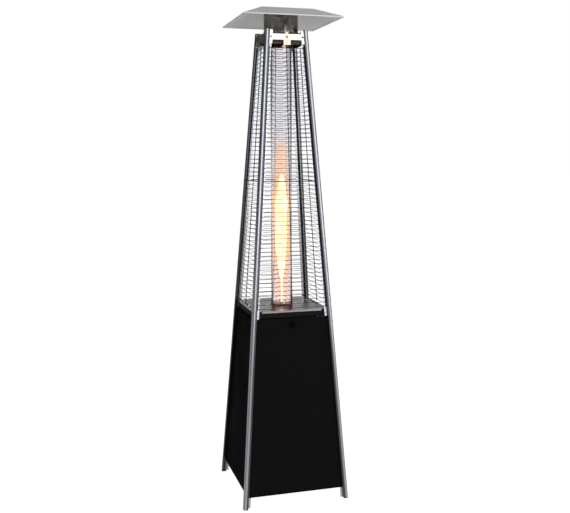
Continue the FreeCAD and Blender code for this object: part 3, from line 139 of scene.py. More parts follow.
class HeaterStage(bpy.types.PropertyGroup):
    camera_place: FloatVectorProperty(name="Camera", description="Where the camera stands", unit="LENGTH",
                                      subtype="TRANSLATION", default=(-1.0637, -3.7619, 1.6330))
    camera_turn: FloatProperty(name="Camera turn", description="Turn to the right of straight ahead",
                               default=math.radians(16.05), unit="ROTATION")
    camera_tilt: FloatProperty(name="Camera tilt", description="Tilt down from level",
                               default=math.radians(7.278), unit="ROTATION")
    camera_roll: FloatProperty(name="Camera roll", description="Roll about the line of sight",
                               default=math.radians(0.14), unit="ROTATION")
    lens: FloatProperty(name="Lens", description="Focal length for a 36 mm wide sensor", default=52.03)
    floor_half: FloatProperty(name="Floor", description="Half the width of the floor", default=40.0,
                              unit="LENGTH")
    floor_glow: FloatProperty(name="Floor glow", description="How bright the floor looks by itself",
                              default=1.0)
    floor_bounce: FloatProperty(name="Floor bounce", description="Light that the floor throws on the object",
                                default=0.34)
    room_light: FloatProperty(name="Room light", description="Light from every side of the room",
                              default=0.06)


# ---------------------------------------------------------------- mesh helpers
def add_piece(name, points, faces, body, smooth=True, replaces=()):
    """New mesh object at the origin that rides on a body."""
    mesh = bpy.data.meshes.new(name)
    mesh.from_pydata(np.asarray(points, dtype=float).tolist(), [], [tuple(int(i) for i in f) for f in faces])
    mesh.update()
    mesh.polygons.foreach_set("use_smooth", [smooth] * len(mesh.polygons))
    piece = bpy.data.objects.new(name, mesh)
    bpy.context.scene.collection.objects.link(piece)
    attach(piece, body)
    if replaces:
        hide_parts(*replaces)
    return piece


def grid_faces(rows, columns, wrap_columns=False, wrap_rows=False):
    """Quads of a grid of points stored row by row; a wrapped side closes on itself."""
    r = np.arange(rows if wrap_rows else rows - 1)
    c = np.arange(columns if wrap_columns else columns - 1)
    r, c = np.meshgrid(r, c, indexing="ij")
    r2, c2 = (r + 1) % rows, (c + 1) % columns
    quads = np.stack([r * columns + c, r * columns + c2, r2 * columns + c2, r2 * columns + c], axis=-1)
    return quads.reshape(-1, 4)


def turned_ring(profile, steps):
    """Surface of revolution of a closed (radius, height) profile about an upright axis.

    Point (i, j) is (r_i cos a_j, r_i sin a_j, z_i), with a_j the j-th of equal turns."""
    profile = np.asarray(profile, dtype=float)
    a = np.linspace(0.0, 2 * math.pi, steps, endpoint=False)
    x = profile[:, :1] * np.cos(a)
    y = profile[:, :1] * np.sin(a)
    z = np.repeat(profile[:, 1:], steps, axis=1)
    points = np.stack([x, y, z], axis=-1).reshape(-1, 3)
    faces = grid_faces(len(profile), steps, wrap_columns=True, wrap_rows=True)
    return points, faces


def face_outwards(piece):
    """Recalculate the normals of a closed mesh after merging its doubles."""
    work = bmesh.new()
    work.from_mesh(piece.data)
    bmesh.ops.remove_doubles(work, verts=work.verts, dist=1e-6)
    bmesh.ops.recalc_face_normals(work, faces=work.faces)
    work.to_mesh(piece.data)
    work.free()


# ---------------------------------------------------------------- material helpers
class Finish:
    """A material with its shader and a short way to add and join nodes."""

    def __init__(self, name, colour, metallic=0.0, roughness=0.5, **inputs):
        self.material = bpy.data.materials.new(name)
        self.material.use_nodes = True
        self.tree = self.material.node_tree
        self.shader = self.tree.nodes["Principled BSDF"]
        self.set("Base Color", (*colour[:3], 1.0))
        self.set("Metallic", metallic)
        self.set("Roughness", roughness)
        for key, value in inputs.items():
            self.set(key.replace("_", " "), value)

    def set(self, socket, value):
        self.shader.inputs[socket].default_value = value

    def add(self, kind, **settings):
        node = self.tree.nodes.new(kind)
        for key, value in settings.items():
            setattr(node, key, value)
        return node

    def link(self, source, target):
        self.tree.links.new(source, target)

    def place(self, scale=(1.0, 1.0, 1.0)):
        coordinates = self.add("ShaderNodeTexCoord")
        mapping = self.add("ShaderNodeMapping")
        mapping.inputs["Scale"].default_value = scale
        self.link(coordinates.outputs["Object"], mapping.inputs["Vector"])
        return mapping.outputs["Vector"]

    def axes(self):
        """The three object coordinates, as a node with an output for each."""
        coordinates = self.add("ShaderNodeTexCoord")
        split = self.add("ShaderNodeSeparateXYZ")
        self.link(coordinates.outputs["Object"], split.inputs["Vector"])
        return split

    def maths(self, operation, first, second, **settings):
        node = self.add("ShaderNodeMath", operation=operation, **settings)
        self.link(first, node.inputs[0])
        self.link(second, node.inputs[1])
        return node.outputs["Value"]

    def noise(self, vector, scale, detail=3.0, rough=0.5):
        node = self.add("ShaderNodeTexNoise")
        node.inputs["Scale"].default_value = scale
        node.inputs["Detail"].default_value = detail
        node.inputs["Roughness"].default_value = rough
        self.link(vector, node.inputs["Vector"])
        return node.outputs["Fac"]

    def spread(self, value, low, high, start=0.35, end=0.65):
        """Map a noise value onto a range."""
        node = self.add("ShaderNodeMapRange")
        node.inputs["From Min"].default_value = start
        node.inputs["From Max"].default_value = end
        node.inputs["To Min"].default_value = low
        node.inputs["To Max"].default_value = high
        self.link(value, node.inputs["Value"])
        return node.outputs["Result"]

    def blend(self, value, first, second):
        """Blend from a colour, or a socket that gives one, to a plain colour."""
        node = self.add("ShaderNodeMix", data_type="RGBA")
        if isinstance(first, bpy.types.NodeSocket):
            self.link(first, node.inputs["A"])
        else:
            node.inputs["A"].default_value = (*first[:3], 1.0)
        node.inputs["B"].default_value = (*second[:3], 1.0)
        self.link(value, node.inputs["Factor"])
        return node.outputs["Result"]

    def bump(self, height, strength, distance):
        node = self.add("ShaderNodeBump")
        node.inputs["Strength"].default_value = strength
        node.inputs["Distance"].default_value = distance
        self.link(height, node.inputs["Height"])
        self.link(node.outputs["Normal"], self.shader.inputs["Normal"])


def shade(colour, factor):
    return tuple(min(1.0, c * factor) for c in colour[:3])


def give(finish, *nodes):
    """Put a finish on CAD nodes."""
    for name in nodes:
        mesh = NODES[name].data
        mesh.materials.clear()
        mesh.materials.append(finish.material)


def dress(piece, finish):
    piece.data.materials.clear()
    piece.data.materials.append(finish.material)
    return piece


# ---------------------------------------------------------------- finishes
def post_finish(colours):
    """Brushed extrusion: fine streaks that run up along each leaning post, over painted light and shade.

    Each side of a post is placed by its distance from the middle with the lean added back. The smaller
    of the two tells corners, stripe, groove and fins apart: painted shade from the groove towards the
    fins, a painted highlight stripe from the groove to the corners, painted shade along the corners and a
    painted highlight on the fins. The larger one finds the faces turned inwards, which get painted shade."""
    f = Finish("brushed_post_painted_light", colours.post_metal, metallic=1.0, roughness=0.3)
    split = f.axes()
    lean = f.add("ShaderNodeMath", operation="MULTIPLY")
    lean.inputs[1].default_value = TAPER
    f.link(split.outputs["Z"], lean.inputs[0])
    along = []
    for axis in ("X", "Y"):
        size = f.add("ShaderNodeMath", operation="ABSOLUTE")
        f.link(split.outputs[axis], size.inputs[0])
        along.append(f.maths("ADD", size.outputs["Value"], lean.outputs["Value"]))
    joined = f.add("ShaderNodeCombineXYZ")
    f.link(along[0], joined.inputs["X"])
    f.link(along[1], joined.inputs["Y"])
    f.link(split.outputs["Z"], joined.inputs["Z"])
    mapping = f.add("ShaderNodeMapping")
    mapping.inputs["Scale"].default_value = (900.0, 900.0, 2.0)
    f.link(joined.outputs["Vector"], mapping.inputs["Vector"])
    streaks = f.noise(mapping.outputs["Vector"], 1.0, detail=2.0)
    clouds = f.noise(f.place((3.0, 3.0, 1.2)), 2.0, detail=3.0)
    f.link(f.spread(streaks, 0.2, 0.36), f.shader.inputs["Roughness"])
    metal = colours.post_metal
    nearer, further = f.maths("MINIMUM", *along), f.maths("MAXIMUM", *along)
    groove, fin_root = FOOT_HALF - POST_GROOVE, FOOT_HALF - POST_BODY
    # painted shade from the groove towards the fins, painted highlight stripe from the groove to the corners
    painted_stripe = f.spread(nearer, 0.0, 1.0, groove - 0.001, groove + 0.001)
    brushed = f.blend(painted_stripe, shade(metal, 0.2), shade(metal, 1.2))
    # painted shade along the corners
    painted_corner_shade = f.spread(nearer, 0.0, 1.0, FOOT_HALF - 0.005, FOOT_HALF - 0.003)
    brushed = f.blend(painted_corner_shade, brushed, shade(metal, 0.55))
    # painted highlight on the fins
    painted_fin_highlight = f.spread(nearer, 1.0, 0.0, fin_root - 0.0004, fin_root)
    brushed = f.blend(painted_fin_highlight, brushed, shade(metal, 1.5))
    brushed = f.blend(f.spread(clouds, 0.0, 0.12), brushed, shade(metal, 0.6))
    # painted shade on the faces turned inwards, on the post's body only
    inside = f.spread(further, 1.0, 0.0, FOOT_HALF - 0.013, FOOT_HALF - 0.009)
    body = f.spread(nearer, 0.0, 1.0, fin_root - 0.0004, fin_root)
    dark = f.maths("MULTIPLY", inside, body)
    f.link(f.blend(dark, brushed, colours.post_inside_painted_shade), f.shader.inputs["Base Color"])
    f.bump(streaks, 0.12, 0.0002)
    return f


def powder_finish(name, colour, roughness=0.6, shine=0.09):
    """Matt powder coat: orange peel bump and a little uneven gloss."""
    f = Finish(name, colour, metallic=0.0, roughness=roughness, Specular_IOR_Level=shine)
    place = f.place()
    peel = f.noise(place, 900.0, detail=2.0)
    clouds = f.noise(place, 7.0, detail=4.0)
    f.link(f.spread(clouds, roughness - 0.07, roughness + 0.1), f.shader.inputs["Roughness"])
    f.link(f.blend(f.spread(clouds, 0.0, 1.0), colour, shade(colour, 1.5)),
           f.shader.inputs["Base Color"])
    f.bump(peel, 0.25, 0.00015)
    return f


def brushed_finish(name, colour, scale, low=0.2, high=0.4, metallic=1.0):
    """Brushed sheet: noise stretched along one direction drives gloss and a fine bump."""
    f = Finish(name, colour, metallic=metallic, roughness=(low + high) / 2)
    lines = f.noise(f.place(scale), 1.0, detail=3.0)
    clouds = f.noise(f.place(), 9.0, detail=3.0)
    f.link(f.spread(lines, low, high), f.shader.inputs["Roughness"])
    f.link(f.blend(f.spread(clouds, 0.0, 1.0), shade(colour, 0.88), shade(colour, 1.05)),
           f.shader.inputs["Base Color"])
    f.bump(lines, 0.1, 0.0002)
    return f


def moulded_finish(name, colour, roughness=0.5, grain=1500.0, strength=0.2, shine=0.5):
    """Moulded plastic or rubber with a fine spark-eroded grain."""
    f = Finish(name, colour, roughness=roughness, Specular_IOR_Level=shine)
    place = f.place()
    grit = f.noise(place, grain, detail=2.0)
    clouds = f.noise(place, 30.0)
    f.link(f.spread(clouds, roughness - 0.06, roughness + 0.08), f.shader.inputs["Roughness"])
    f.link(f.blend(f.spread(clouds, 0.0, 1.0), shade(colour, 0.9), shade(colour, 1.25)),
           f.shader.inputs["Base Color"])
    f.bump(grit, strength, 0.0001)
    return f


def hood_finish(colours):
    """Matt rolled sheet: soft broad gloss with faint rolling marks, and a painted highlight: the lip at its
    foot is made near white.
    """
    f = Finish("hood_sheet", colours.hood_metal, metallic=0.2, roughness=0.5)
    lines = f.noise(f.place((160.0, 2.0, 160.0)), 1.0, detail=3.0)
    clouds = f.noise(f.place(), 5.0, detail=5.0)
    f.link(f.spread(lines, 0.42, 0.55), f.shader.inputs["Roughness"])
    sheet = f.blend(f.spread(clouds, 0.0, 1.0), shade(colours.hood_metal, 0.94),
                            shade(colours.hood_metal, 1.04))
    split = f.axes()
    # painted highlight: the lip at the hood's foot is made near white
    rim = HOOD_FOOT + HOOD_LIP
    lip = f.spread(split.outputs["Z"], 1.0, 0.0, rim, rim + 0.0006)
    f.link(f.blend(lip, sheet, (0.95, 0.95, 0.93)), f.shader.inputs["Base Color"])
    f.bump(clouds, 0.05, 0.002)
    return f


def scorched_finish(name, dark, light, low):
    """Heat darkened steel: brown and blue-black patches on a dull metal."""
    f = Finish(name, dark, metallic=0.9, roughness=low + 0.1)
    patches = f.noise(f.place((1.0, 1.0, 0.6)), 22.0, detail=5.0, rough=0.6)
    f.link(f.blend(f.spread(patches, 0.0, 1.0), dark, light), f.shader.inputs["Base Color"])
    f.link(f.spread(patches, low, low + 0.15), f.shader.inputs["Roughness"])
    f.bump(f.noise(f.place(), 500.0), 0.15, 0.0002)
    return f


def glass_finish(colours):
    """Glass tube with the flame's glow painted into it: pink near the burner, grey above, with faint drawing
    lines along it.
    """
    f = Finish("tube_glass", colours.glass_tint, roughness=0.02, Transmission_Weight=1.0, IOR=1.45)
    split = f.axes()
    # painted glow of the flame: pink low on the tube, fading to grey higher up
    above_painted_glow = f.spread(split.outputs["Z"], 0.0, 1.0, float(TUBE_LOW[2]) + 0.15, float(TUBE_HIGH[2]) - 0.35)
    f.link(f.blend(above_painted_glow, colours.painted_flame_glow, colours.glass_tint), f.shader.inputs["Base Color"])
    lines = f.noise(f.place((60.0, 60.0, 1.0)), 1.0)
    f.link(f.spread(lines, 0.02, 0.09), f.shader.inputs["Roughness"])
    return f


def flame_finish(name, edge, core, glow, show):
    """Glowing gas: the fade attribute and upright wisps set how much of it shows.

    The heat attribute is meant to blend from the edge colour to the core colour. Cycles keeps the name
    heat for volumes and reads zero from it here, so the edge colour shows throughout."""
    f = Finish(name, (0.0, 0.0, 0.0), roughness=1.0, Specular_IOR_Level=0.0)
    f.set("Emission Strength", glow)
    heat = f.add("ShaderNodeAttribute", attribute_name="heat")
    f.link(f.blend(heat.outputs["Fac"], edge, core), f.shader.inputs["Emission Color"])
    fade = f.add("ShaderNodeAttribute", attribute_name="fade")
    wisps = f.noise(f.place((120.0, 120.0, 5.0)), 1.0, detail=4.0, rough=0.6)
    strength = f.spread(wisps, 0.45 * show, 1.3 * show, 0.3, 0.7)
    shown = f.maths("MULTIPLY", fade.outputs["Fac"], strength, use_clamp=True)
    f.link(shown, f.shader.inputs["Alpha"])
    return f


# ---------------------------------------------------------------- operators: one for each group of pieces
class PieceOperator:
    """What every operator here shares."""
    bl_options = {"REGISTER", "UNDO"}


class HEATER_OT_posts(PieceOperator, bpy.types.Operator):
    """Brush the posts and give their caps and sleeves a finish."""
    bl_idname = "heater.posts"
    bl_label = "Posts"

    def execute(self, context):
        colours = context.scene.heater_colours
        give(post_finish(colours), "lower_post_front_left", "lower_post_front_right", "lower_post_rear_left",
             "lower_post_rear_right", "upper_posts")
        give(moulded_finish("cap_plastic", (0.012, 0.012, 0.012)), "post_caps")
        give(brushed_finish("zinc_sleeve", (0.6, 0.6, 0.58), (300.0, 300.0, 4.0)), "post_joining_sleeves")
        return {"FINISHED"}


class HEATER_OT_cabinet(PieceOperator, bpy.types.Operator):
    """Powder coat the cabinet's sheets and their screws."""
    bl_idname = "heater.cabinet"
    bl_label = "Cabinet"

    def execute(self, context):
        colours = context.scene.heater_colours
        coat = powder_finish("powder_coat", colours.powder_coat)
        give(coat, "front_door", "rear_panel", "control_fascia", "base_tray", "bottle_locating_ring")
        give(powder_finish("side_coat", colours.powder_coat, 0.75, 0.02),
             "side_panel_left", "side_panel_right")
        # painted lighter tone: the band gets the cabinet's powder coat made three times lighter
        give(powder_finish("band_coat_painted_lighter", shade(colours.powder_coat, 3.0)), "deck_support_band")
        give(powder_finish("black_screws", shade(colours.powder_coat, 1.4), 0.3), "panel_screws")
        return {"FINISHED"}


class HEATER_OT_deck(PieceOperator, bpy.types.Operator):
    """Brush the deck, the top brackets, their clips and fasteners."""
    bl_idname = "heater.deck"
    bl_label = "Deck and brackets"

    def execute(self, context):
        colours = context.scene.heater_colours
        give(brushed_finish("deck_steel", shade(colours.steel, 0.7), (3.0, 420.0, 420.0), 0.24, 0.42),
             "deck_plate")
        give(brushed_finish("bracket_steel", shade(colours.steel, 1.15), (6.0, 500.0, 500.0), 0.18, 0.3),
             "top_brackets")
        give(brushed_finish("clip_steel", (0.78, 0.66, 0.52), (6.0, 500.0, 500.0), 0.2, 0.34), "tube_clips")
        give(brushed_finish("dark_bolt", (0.06, 0.06, 0.062), (800.0, 800.0, 800.0), 0.3, 0.45),
             "bracket_fasteners")
        give(brushed_finish("bolt_steel", shade(colours.steel, 0.8), (800.0, 800.0, 800.0), 0.2, 0.35),
             "hood_bolts", "frame_rivets")
        return {"FINISHED"}


class HEATER_OT_guards(PieceOperator, bpy.types.Operator):
    """Brushed finish on the wire guards, its metal darkened to near black as a painted shade."""
    bl_idname = "heater.guards"
    bl_label = "Wire guards"

    def execute(self, context):
        # painted shade: the wire's metal is made near black
        give(brushed_finish("guard_wire", (0.08, 0.08, 0.085), (500.0, 500.0, 500.0), 0.16, 0.28),
             "guard_front", "guard_rear", "guard_left", "guard_right")
        return {"FINISHED"}


class HEATER_OT_burner(PieceOperator, bpy.types.Operator):
    """Finishes of the burner, its pipes and the pieces that locate the tube."""
    bl_idname = "heater.burner"
    bl_label = "Burner"

    def execute(self, context):
        colours = context.scene.heater_colours
        give(scorched_finish("scorched_steel", (0.035, 0.026, 0.024), (0.13, 0.092, 0.075), 0.3),
             "burner_screen", "venturi_tube", "pilot_burner", "tube_top_holder", "top_plate")
        give(brushed_finish("cup_steel", (0.62, 0.57, 0.54), (200.0, 200.0, 30.0), 0.25, 0.4), "burner_cup")
        give(brushed_finish("zinc_bracket", (0.55, 0.55, 0.52), (200.0, 200.0, 200.0), 0.3, 0.45),
             "jet_bracket", "tube_locating_collar")
        give(brushed_finish("brass_turned", (0.72, 0.52, 0.22), (700.0, 20.0, 700.0), 0.2, 0.35),
             "gas_jet", "valve_body", "valve_cone", "gas_inlet_fitting")
        give(brushed_finish("copper_pipe", (0.72, 0.36, 0.2), (90.0, 90.0, 90.0), 0.22, 0.4),
             "gas_supply_pipe", "pilot_pipe", "thermocouple")
        give(moulded_finish("glazed_ceramic", (0.8, 0.77, 0.7), 0.2, 600.0, 0.05), "spark_electrode")
        give(moulded_finish("silicone_rubber", (0.32, 0.07, 0.05), 0.55, 900.0),
             "tube_gasket", "igniter_wire")
        return {"FINISHED"}


class HEATER_OT_controls(PieceOperator, bpy.types.Operator):
    """Finishes of the control box, knob, igniter and tilt switch."""
    bl_idname = "heater.controls"
    bl_label = "Controls"

    def execute(self, context):
        give(brushed_finish("zinc_box", (0.5, 0.5, 0.49), (60.0, 60.0, 60.0), 0.35, 0.5), "control_box")
        black = moulded_finish("control_plastic", (0.014, 0.014, 0.014), 0.42)
        give(black, "control_knob", "igniter_body", "tilt_switch_case")
        give(moulded_finish("lock_plastic", (0.0012, 0.0012, 0.0012), 0.45, shine=0.04), "door_lock_knob")
        give(moulded_finish("igniter_red", (0.5, 0.02, 0.012), 0.25, 900.0, 0.05), "igniter_button")
        give(brushed_finish("weight_steel", (0.45, 0.45, 0.44), (300.0, 300.0, 300.0), 0.3, 0.4),
             "tilt_switch_weight", "door_lock_cam")
        return {"FINISHED"}


class HEATER_OT_wheels(PieceOperator, bpy.types.Operator):
    """Finishes of the wheels, axle and bracket."""
    bl_idname = "heater.wheels"
    bl_label = "Wheels"

    def execute(self, context):
        give(moulded_finish("wheel_rubber", (0.018, 0.018, 0.018), 0.6, 700.0), "wheel_left", "wheel_right")
        give(brushed_finish("zinc_axle", (0.58, 0.58, 0.56), (10.0, 600.0, 600.0), 0.25, 0.4),
             "wheel_axle", "wheel_bracket", "axle_caps")
        return {"FINISHED"}


def tube_profile(radius, wall, low, high, lip=5):
    """Closed (radius, height) outline of a tube wall whose two ends are rounded by half circles."""
    half_wall = wall / 2.0
    middle = radius - half_wall
    a = np.linspace(0.0, math.pi, lip)
    top = np.stack([middle + half_wall * np.cos(a), high - half_wall + half_wall * np.sin(a)], axis=-1)
    foot = np.stack([middle - half_wall * np.cos(a), low + half_wall - half_wall * np.sin(a)], axis=-1)
    return np.concatenate([top, foot])


class HEATER_OT_glass(PieceOperator, bpy.types.Operator):
    """Glass flame tube with fire-polished ends."""
    bl_idname = "heater.glass"
    bl_label = "Glass tube"

    def execute(self, context):
        colours = context.scene.heater_colours
        points, faces = turned_ring(tube_profile(TUBE_RADIUS, GLASS_WALL, TUBE_LOW[2], TUBE_HIGH[2]), 96)
        tube = add_piece("flame_tube_glass", points, faces, "root", replaces=("glass_tube",))
        face_outwards(tube)
        dress(tube, glass_finish(colours))
        return {"FINISHED"}


def smooth_through(heights, values, z):
    """Values at z on a curve through the points, level at each one: a smoothstep between neighbours."""
    k = np.clip(np.searchsorted(heights, z, side="right") - 1, 0, len(heights) - 2)
    low, high = np.take(heights, k), np.take(heights, k + 1)
    s = np.clip((z - low) / (high - low), 0.0, 1.0)
    s = s * s * (3.0 - 2.0 * s)
    return np.take(values, k) * (1.0 - s) + np.take(values, k + 1) * s


def flame_shell(name, outline, low, height, height_share, phase, finish, steps=24, rows=96):
    """One closed shell of the flame, standing on the burner.

    Its half width and strength follow the outline's curve up its height, and its top closes round.
    The section has three slow lobes that turn as it rises, and two sine waves carry its centre a
    little sideways. The fade attribute is the outline's strength; the heat attribute falls from the
    middle of the flame to its top."""
    t = np.linspace(0.0, 1.0, rows)
    share, half_width, strength = np.array(outline).T
    radius = smooth_through(share, half_width, t)
    radius = radius * np.sqrt(np.clip((1.0 - t) / 0.05, 0.0, 1.0)) * (1.0 + 0.05 * np.sin(23.0 * t + phase))
    radius = np.maximum(radius, 0.0003)
    drift_x = 0.003 * np.sin(6.1 * t + phase) * t
    drift_y = 0.003 * np.sin(4.3 * t + 1.7 * phase) * t
    a = np.linspace(0.0, 2 * math.pi, steps, endpoint=False)
    lobes = 1.0 + 0.1 * np.sin(3 * a[None, :] + 5.0 * t[:, None] + phase)
    x = drift_x[:, None] + radius[:, None] * lobes * np.cos(a)
    y = drift_y[:, None] + radius[:, None] * lobes * np.sin(a)
    z = np.repeat((low + height * t)[:, None], steps, axis=1)
    ends = [[drift_x[0], drift_y[0], low], [drift_x[-1], drift_y[-1], low + height]]
    points = np.concatenate([np.stack([x, y, z], axis=-1).reshape(-1, 3), ends])
    foot, tip = rows * steps, rows * steps + 1
    j = np.arange(steps)
    after, last = (j + 1) % steps, (rows - 1) * steps
    faces = grid_faces(rows, steps, wrap_columns=True).tolist()
    faces += np.stack([np.full(steps, foot), after, j], axis=-1).tolist()
    faces += np.stack([np.full(steps, tip), last + j, last + after], axis=-1).tolist()
    layer = add_piece(name, points, faces, "root")
    fade = smooth_through(share, strength, t)
    put_attribute(layer, "fade", np.concatenate([np.repeat(fade, steps), [0.0, 0.0]]))
    heat = 1.0 - np.clip((t * height_share - COOL_FROM) / COOL_SPAN, 0.0, 1.0)
    put_attribute(layer, "heat", np.concatenate([np.repeat(heat, steps), [heat[0], heat[-1]]]))
    return dress(layer, finish)


def put_attribute(piece, name, values):
    attribute = piece.data.attributes.new(name, "FLOAT", "POINT")
    attribute.data.foreach_set("value", np.asarray(values, dtype=np.float32))


class HEATER_OT_flame(PieceOperator, bpy.types.Operator):
    """Flame: a faint veil that nearly fills the tube, a body inside it and a bright core."""
    bl_idname = "heater.flame"
    bl_label = "Flame"

    def execute(self, context):
        sizes, colours = context.scene.heater_sizes, context.scene.heater_colours
        low = float(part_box("burner_cup")[1][2]) + FLAME_CLEARANCE
        for phase, (name, outline, colour, glow, show, height_share) in enumerate(FLAME_SHELLS):
            finish = flame_finish(name, colours.flame_top, getattr(colours, colour),
                                  glow * sizes.flame_glow, show)
            height = sizes.flame_height * height_share
            flame_shell(name, outline, low, height, height_share, 1.3 * phase, finish)
        return {"FINISHED"}


def pierced_wall(radius, low, high, rows, hole):
    """Cylinder wall pierced by staggered rows of round holes, as one sheet of quads.

    The wall is tiled by cells, and every second row is turned by half a cell. Each cell is the ring
    between a rectangle and its hole: twelve rim points, evenly spaced on the level edges so that they
    meet those of the turned rows, joined to twelve points of the hole at the same angles. A point at
    angle a and height z maps to (r cos a, r sin a, z)."""
    cell = (high - low) / rows
    columns = int(round(2 * math.pi * radius / cell))
    half_a, half_z = math.pi / columns, cell / 2
    edge = np.array([(1, 0), (1, 1), (0.5, 1), (0, 1), (-0.5, 1), (-1, 1)])
    rim = np.concatenate([edge, -edge]) * (half_a, half_z)
    corners = len(rim)
    angle = np.arctan2(rim[:, 1], rim[:, 0] * radius)
    inner = np.stack([np.cos(angle) / radius, np.sin(angle)], axis=-1) * hole / 2
    r, c = np.meshgrid(np.arange(rows), np.arange(columns), indexing="ij")
    centre = np.stack([(2 * c + r % 2) * half_a, low + (2 * r + 1) * half_z], axis=-1).reshape(-1, 1, 2)
    flat = centre + np.concatenate([rim, inner])
    a, z = flat[..., 0], flat[..., 1]
    points = np.stack([radius * np.cos(a), radius * np.sin(a), z], axis=-1).reshape(-1, 3)
    j = np.arange(corners)
    after = (j + 1) % corners
    quads = np.stack([j, after, corners + after, corners + j], axis=-1)
    first = np.arange(rows * columns)[:, None, None] * 2 * corners
    return points, (first + quads).reshape(-1, 4)


class HEATER_OT_flame_screen(PieceOperator, bpy.types.Operator):
    """Perforated drum between the tube and the hood, with plain bands at its foot and top and a lid."""
    bl_idname = "heater.flame_screen"
    bl_label = "Flame screen"

    def execute(self, context):
        sizes = context.scene.heater_sizes
        low, high = float(SCREEN_LOW[2]), float(SCREEN_HIGH[2])
        points, faces = pierced_wall(SCREEN_RADIUS - SCREEN_WALL / 2, low + SCREEN_BAND, high - SCREEN_BAND,
                                     sizes.screen_rows, sizes.screen_hole)
        drum = add_piece("screen_mesh", points, faces, "root", smooth=False,
                         replaces=("flame_screen",))
        face_outwards(drum)
        solid = drum.modifiers.new("wall", "SOLIDIFY")
        solid.thickness, solid.offset = SCREEN_WALL * 0.9, 0.0
        finish = scorched_finish("screen_steel", (0.085, 0.070, 0.066), (0.42, 0.37, 0.35), 0.10)
        dress(drum, finish)
        foot = tube_profile(SCREEN_RADIUS, BAND_WALL, low, low + SCREEN_BAND + BAND_OVERLAP, 4)
        crown = tube_profile(SCREEN_RADIUS, BAND_WALL, high - SCREEN_BAND - BAND_OVERLAP, high, 4)
        edge = SCREEN_RADIUS - LID_INSET
        lid = [(LID_BORE, high - LID_SHEET), (edge, high - LID_SHEET),
               (SCREEN_RADIUS - LID_INSET / 2, high - LID_SHEET / 2), (edge, high), (LID_BORE, high)]
        for name, profile in (("screen_foot_band", foot), ("screen_crown_band", crown), ("screen_lid", lid)):
            points, faces = turned_ring(profile, 72)
            piece = add_piece(name, points, faces, "root")
            face_outwards(piece)
            dress(piece, finish)
        return {"FINISHED"}


class HEATER_OT_hood(PieceOperator, bpy.types.Operator):
    """Matt finish of the reflector hood."""
    bl_idname = "heater.hood"
    bl_label = "Hood"

    def execute(self, context):
        give(hood_finish(context.scene.heater_colours), "hood")
        return {"FINISHED"}


# ---------------------------------------------------------------- stage
def panel_light(name, place, target, size, brightness):
    """Rectangular soft light that faces a point; brightness 1 looks white in a mirror."""
    data = bpy.data.lights.new(name, "AREA")
    data.shape = "RECTANGLE"
    data.size, data.size_y = size
    data.energy = 4.0 * size[0] * size[1] * brightness
    light = bpy.data.objects.new(name, data)
    light.location = place
    aim = np.array(target) - np.array(place)
    level = math.hypot(aim[0], aim[1])
    light.rotation_euler = (math.pi / 2 + math.atan2(aim[2], level), 0.0, math.atan2(-aim[0], aim[1]))
    bpy.context.scene.collection.objects.link(light)


def floor_finish(settings):
    """Pale floor: bright to the camera and through glass, and a softer grey where it lights the object."""
    f = Finish("pale_floor", (0.8, 0.8, 0.8), roughness=0.9, Specular_IOR_Level=0.0)
    f.set("Emission Color", (1.0, 1.0, 1.0, 1.0))
    path = f.add("ShaderNodeLightPath")
    seen = f.maths("MAXIMUM", path.outputs["Is Camera Ray"], path.outputs["Is Transmission Ray"])
    glow = f.add("ShaderNodeMapRange")
    glow.inputs["To Min"].default_value = settings.floor_bounce
    glow.inputs["To Max"].default_value = settings.floor_glow
    f.link(seen, glow.inputs["Value"])
    f.link(glow.outputs["Result"], f.shader.inputs["Emission Strength"])
    return f


def studio_world(room, lit_side, lit_strength):
    """White backdrop for the camera and through glass; elsewhere a dim room with one bright side.

    The room's light is room + lit_strength * s(d . lit_side), where s rises smoothly from 0 to 1."""
    world = bpy.data.worlds.new("studio")
    world.use_nodes = True
    tree = world.node_tree
    backdrop = tree.nodes["Background"]
    backdrop.inputs["Color"].default_value = (1.0, 1.0, 1.0, 1.0)
    backdrop.inputs["Strength"].default_value = 1.0
    studio = tree.nodes.new("ShaderNodeBackground")
    coordinates = tree.nodes.new("ShaderNodeTexCoord")
    towards = tree.nodes.new("ShaderNodeVectorMath")
    towards.operation = "DOT_PRODUCT"
    towards.inputs[1].default_value = lit_side
    rise = tree.nodes.new("ShaderNodeMapRange")
    rise.interpolation_type = "SMOOTHSTEP"
    rise.inputs["From Min"].default_value = 0.35
    rise.inputs["From Max"].default_value = 0.95
    rise.inputs["To Min"].default_value = room
    rise.inputs["To Max"].default_value = room + lit_strength
    path = tree.nodes.new("ShaderNodeLightPath")
    seen = tree.nodes.new("ShaderNodeMath")
    seen.operation = "MAXIMUM"
    choose = tree.nodes.new("ShaderNodeMixShader")
    link = tree.links.new
    link(coordinates.outputs["Generated"], towards.inputs[0])
    link(towards.outputs["Value"], rise.inputs["Value"])
    link(rise.outputs["Result"], studio.inputs["Strength"])
    link(path.outputs["Is Camera Ray"], seen.inputs[0])
    link(path.outputs["Is Transmission Ray"], seen.inputs[1])
    link(seen.outputs["Value"], choose.inputs["Fac"])
    link(studio.outputs["Background"], choose.inputs[1])
    link(backdrop.outputs["Background"], choose.inputs[2])
    link(choose.outputs["Shader"], tree.nodes["World Output"].inputs["Surface"])
    return world


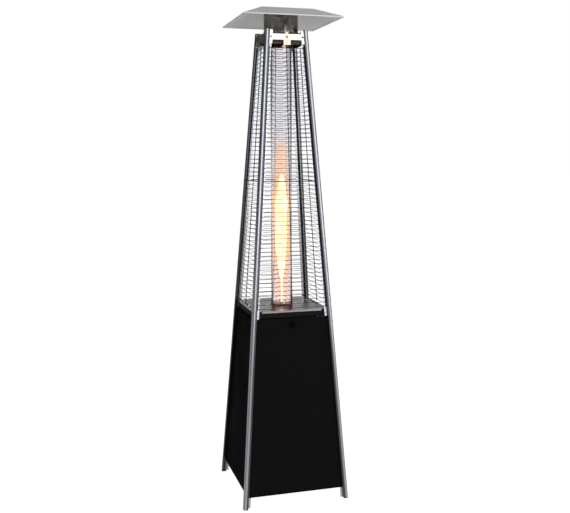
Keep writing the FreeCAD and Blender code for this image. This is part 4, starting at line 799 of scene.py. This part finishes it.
class HEATER_OT_stage(PieceOperator, bpy.types.Operator):
    """Pale floor, soft lights and the camera."""
    bl_idname = "heater.stage"
    bl_label = "Stage"

    def execute(self, context):
        scene = context.scene
        settings = scene.heater_stage
        half = settings.floor_half
        corners = [(-half, -half, 0.0), (half, -half, 0.0), (half, half, 0.0), (-half, half, 0.0)]
        mesh = bpy.data.meshes.new("floor")
        mesh.from_pydata(corners, [], [(0, 1, 2, 3)])
        floor = bpy.data.objects.new("floor", mesh)
        scene.collection.objects.link(floor)
        dress(floor, floor_finish(settings))
        scene.world = studio_world(settings.room_light, LIT_SIDE, LIT_STRENGTH)
        for light in LIGHTS:
            panel_light(*light)
        camera_data = bpy.data.cameras.new("camera")
        camera_data.sensor_width = 36.0
        camera_data.lens = settings.lens
        camera_data.dof.use_dof = False
        camera = bpy.data.objects.new("camera", camera_data)
        camera.location = settings.camera_place
        camera.rotation_euler = (math.pi / 2 - settings.camera_tilt, settings.camera_roll,
                                 -settings.camera_turn)
        scene.collection.objects.link(camera)
        scene.camera = camera
        scene.view_settings.view_transform = "Standard"
        return {"FINISHED"}


class HEATER_PT_panel(bpy.types.Panel):
    """Lists the operators and the values they use."""
    bl_label = "Outdoor heater"
    bl_idname = "HEATER_PT_panel"
    bl_space_type = "VIEW_3D"
    bl_region_type = "UI"
    bl_category = "Heater"

    def draw(self, context):
        layout = self.layout
        for operator in OPERATORS:
            layout.operator(operator.bl_idname)
        for group in (context.scene.heater_sizes, context.scene.heater_colours, context.scene.heater_stage):
            column = layout.column(align=True)
            for name in group.__annotations__:
                column.prop(group, name)


OPERATORS = (HEATER_OT_stage, HEATER_OT_posts, HEATER_OT_cabinet, HEATER_OT_deck, HEATER_OT_guards,
             HEATER_OT_burner, HEATER_OT_controls, HEATER_OT_wheels, HEATER_OT_glass, HEATER_OT_flame,
             HEATER_OT_flame_screen, HEATER_OT_hood)
CLASSES = (HeaterSizes, HeaterColours, HeaterStage) + OPERATORS + (HEATER_PT_panel,)


def register():
    for cls in CLASSES:
        bpy.utils.register_class(cls)
    bpy.types.Scene.heater_sizes = PointerProperty(type=HeaterSizes)
    bpy.types.Scene.heater_colours = PointerProperty(type=HeaterColours)
    bpy.types.Scene.heater_stage = PointerProperty(type=HeaterStage)


def unregister():
    for name in ("heater_sizes", "heater_colours", "heater_stage"):
        delattr(bpy.types.Scene, name)
    for cls in reversed(CLASSES):
        bpy.utils.unregister_class(cls)


def main():
    """Run every operator in order."""
    register()
    for operator in OPERATORS:
        group, name = operator.bl_idname.split(".")
        getattr(getattr(bpy.ops, group), name)()


if __name__ == "__main__":
    main()
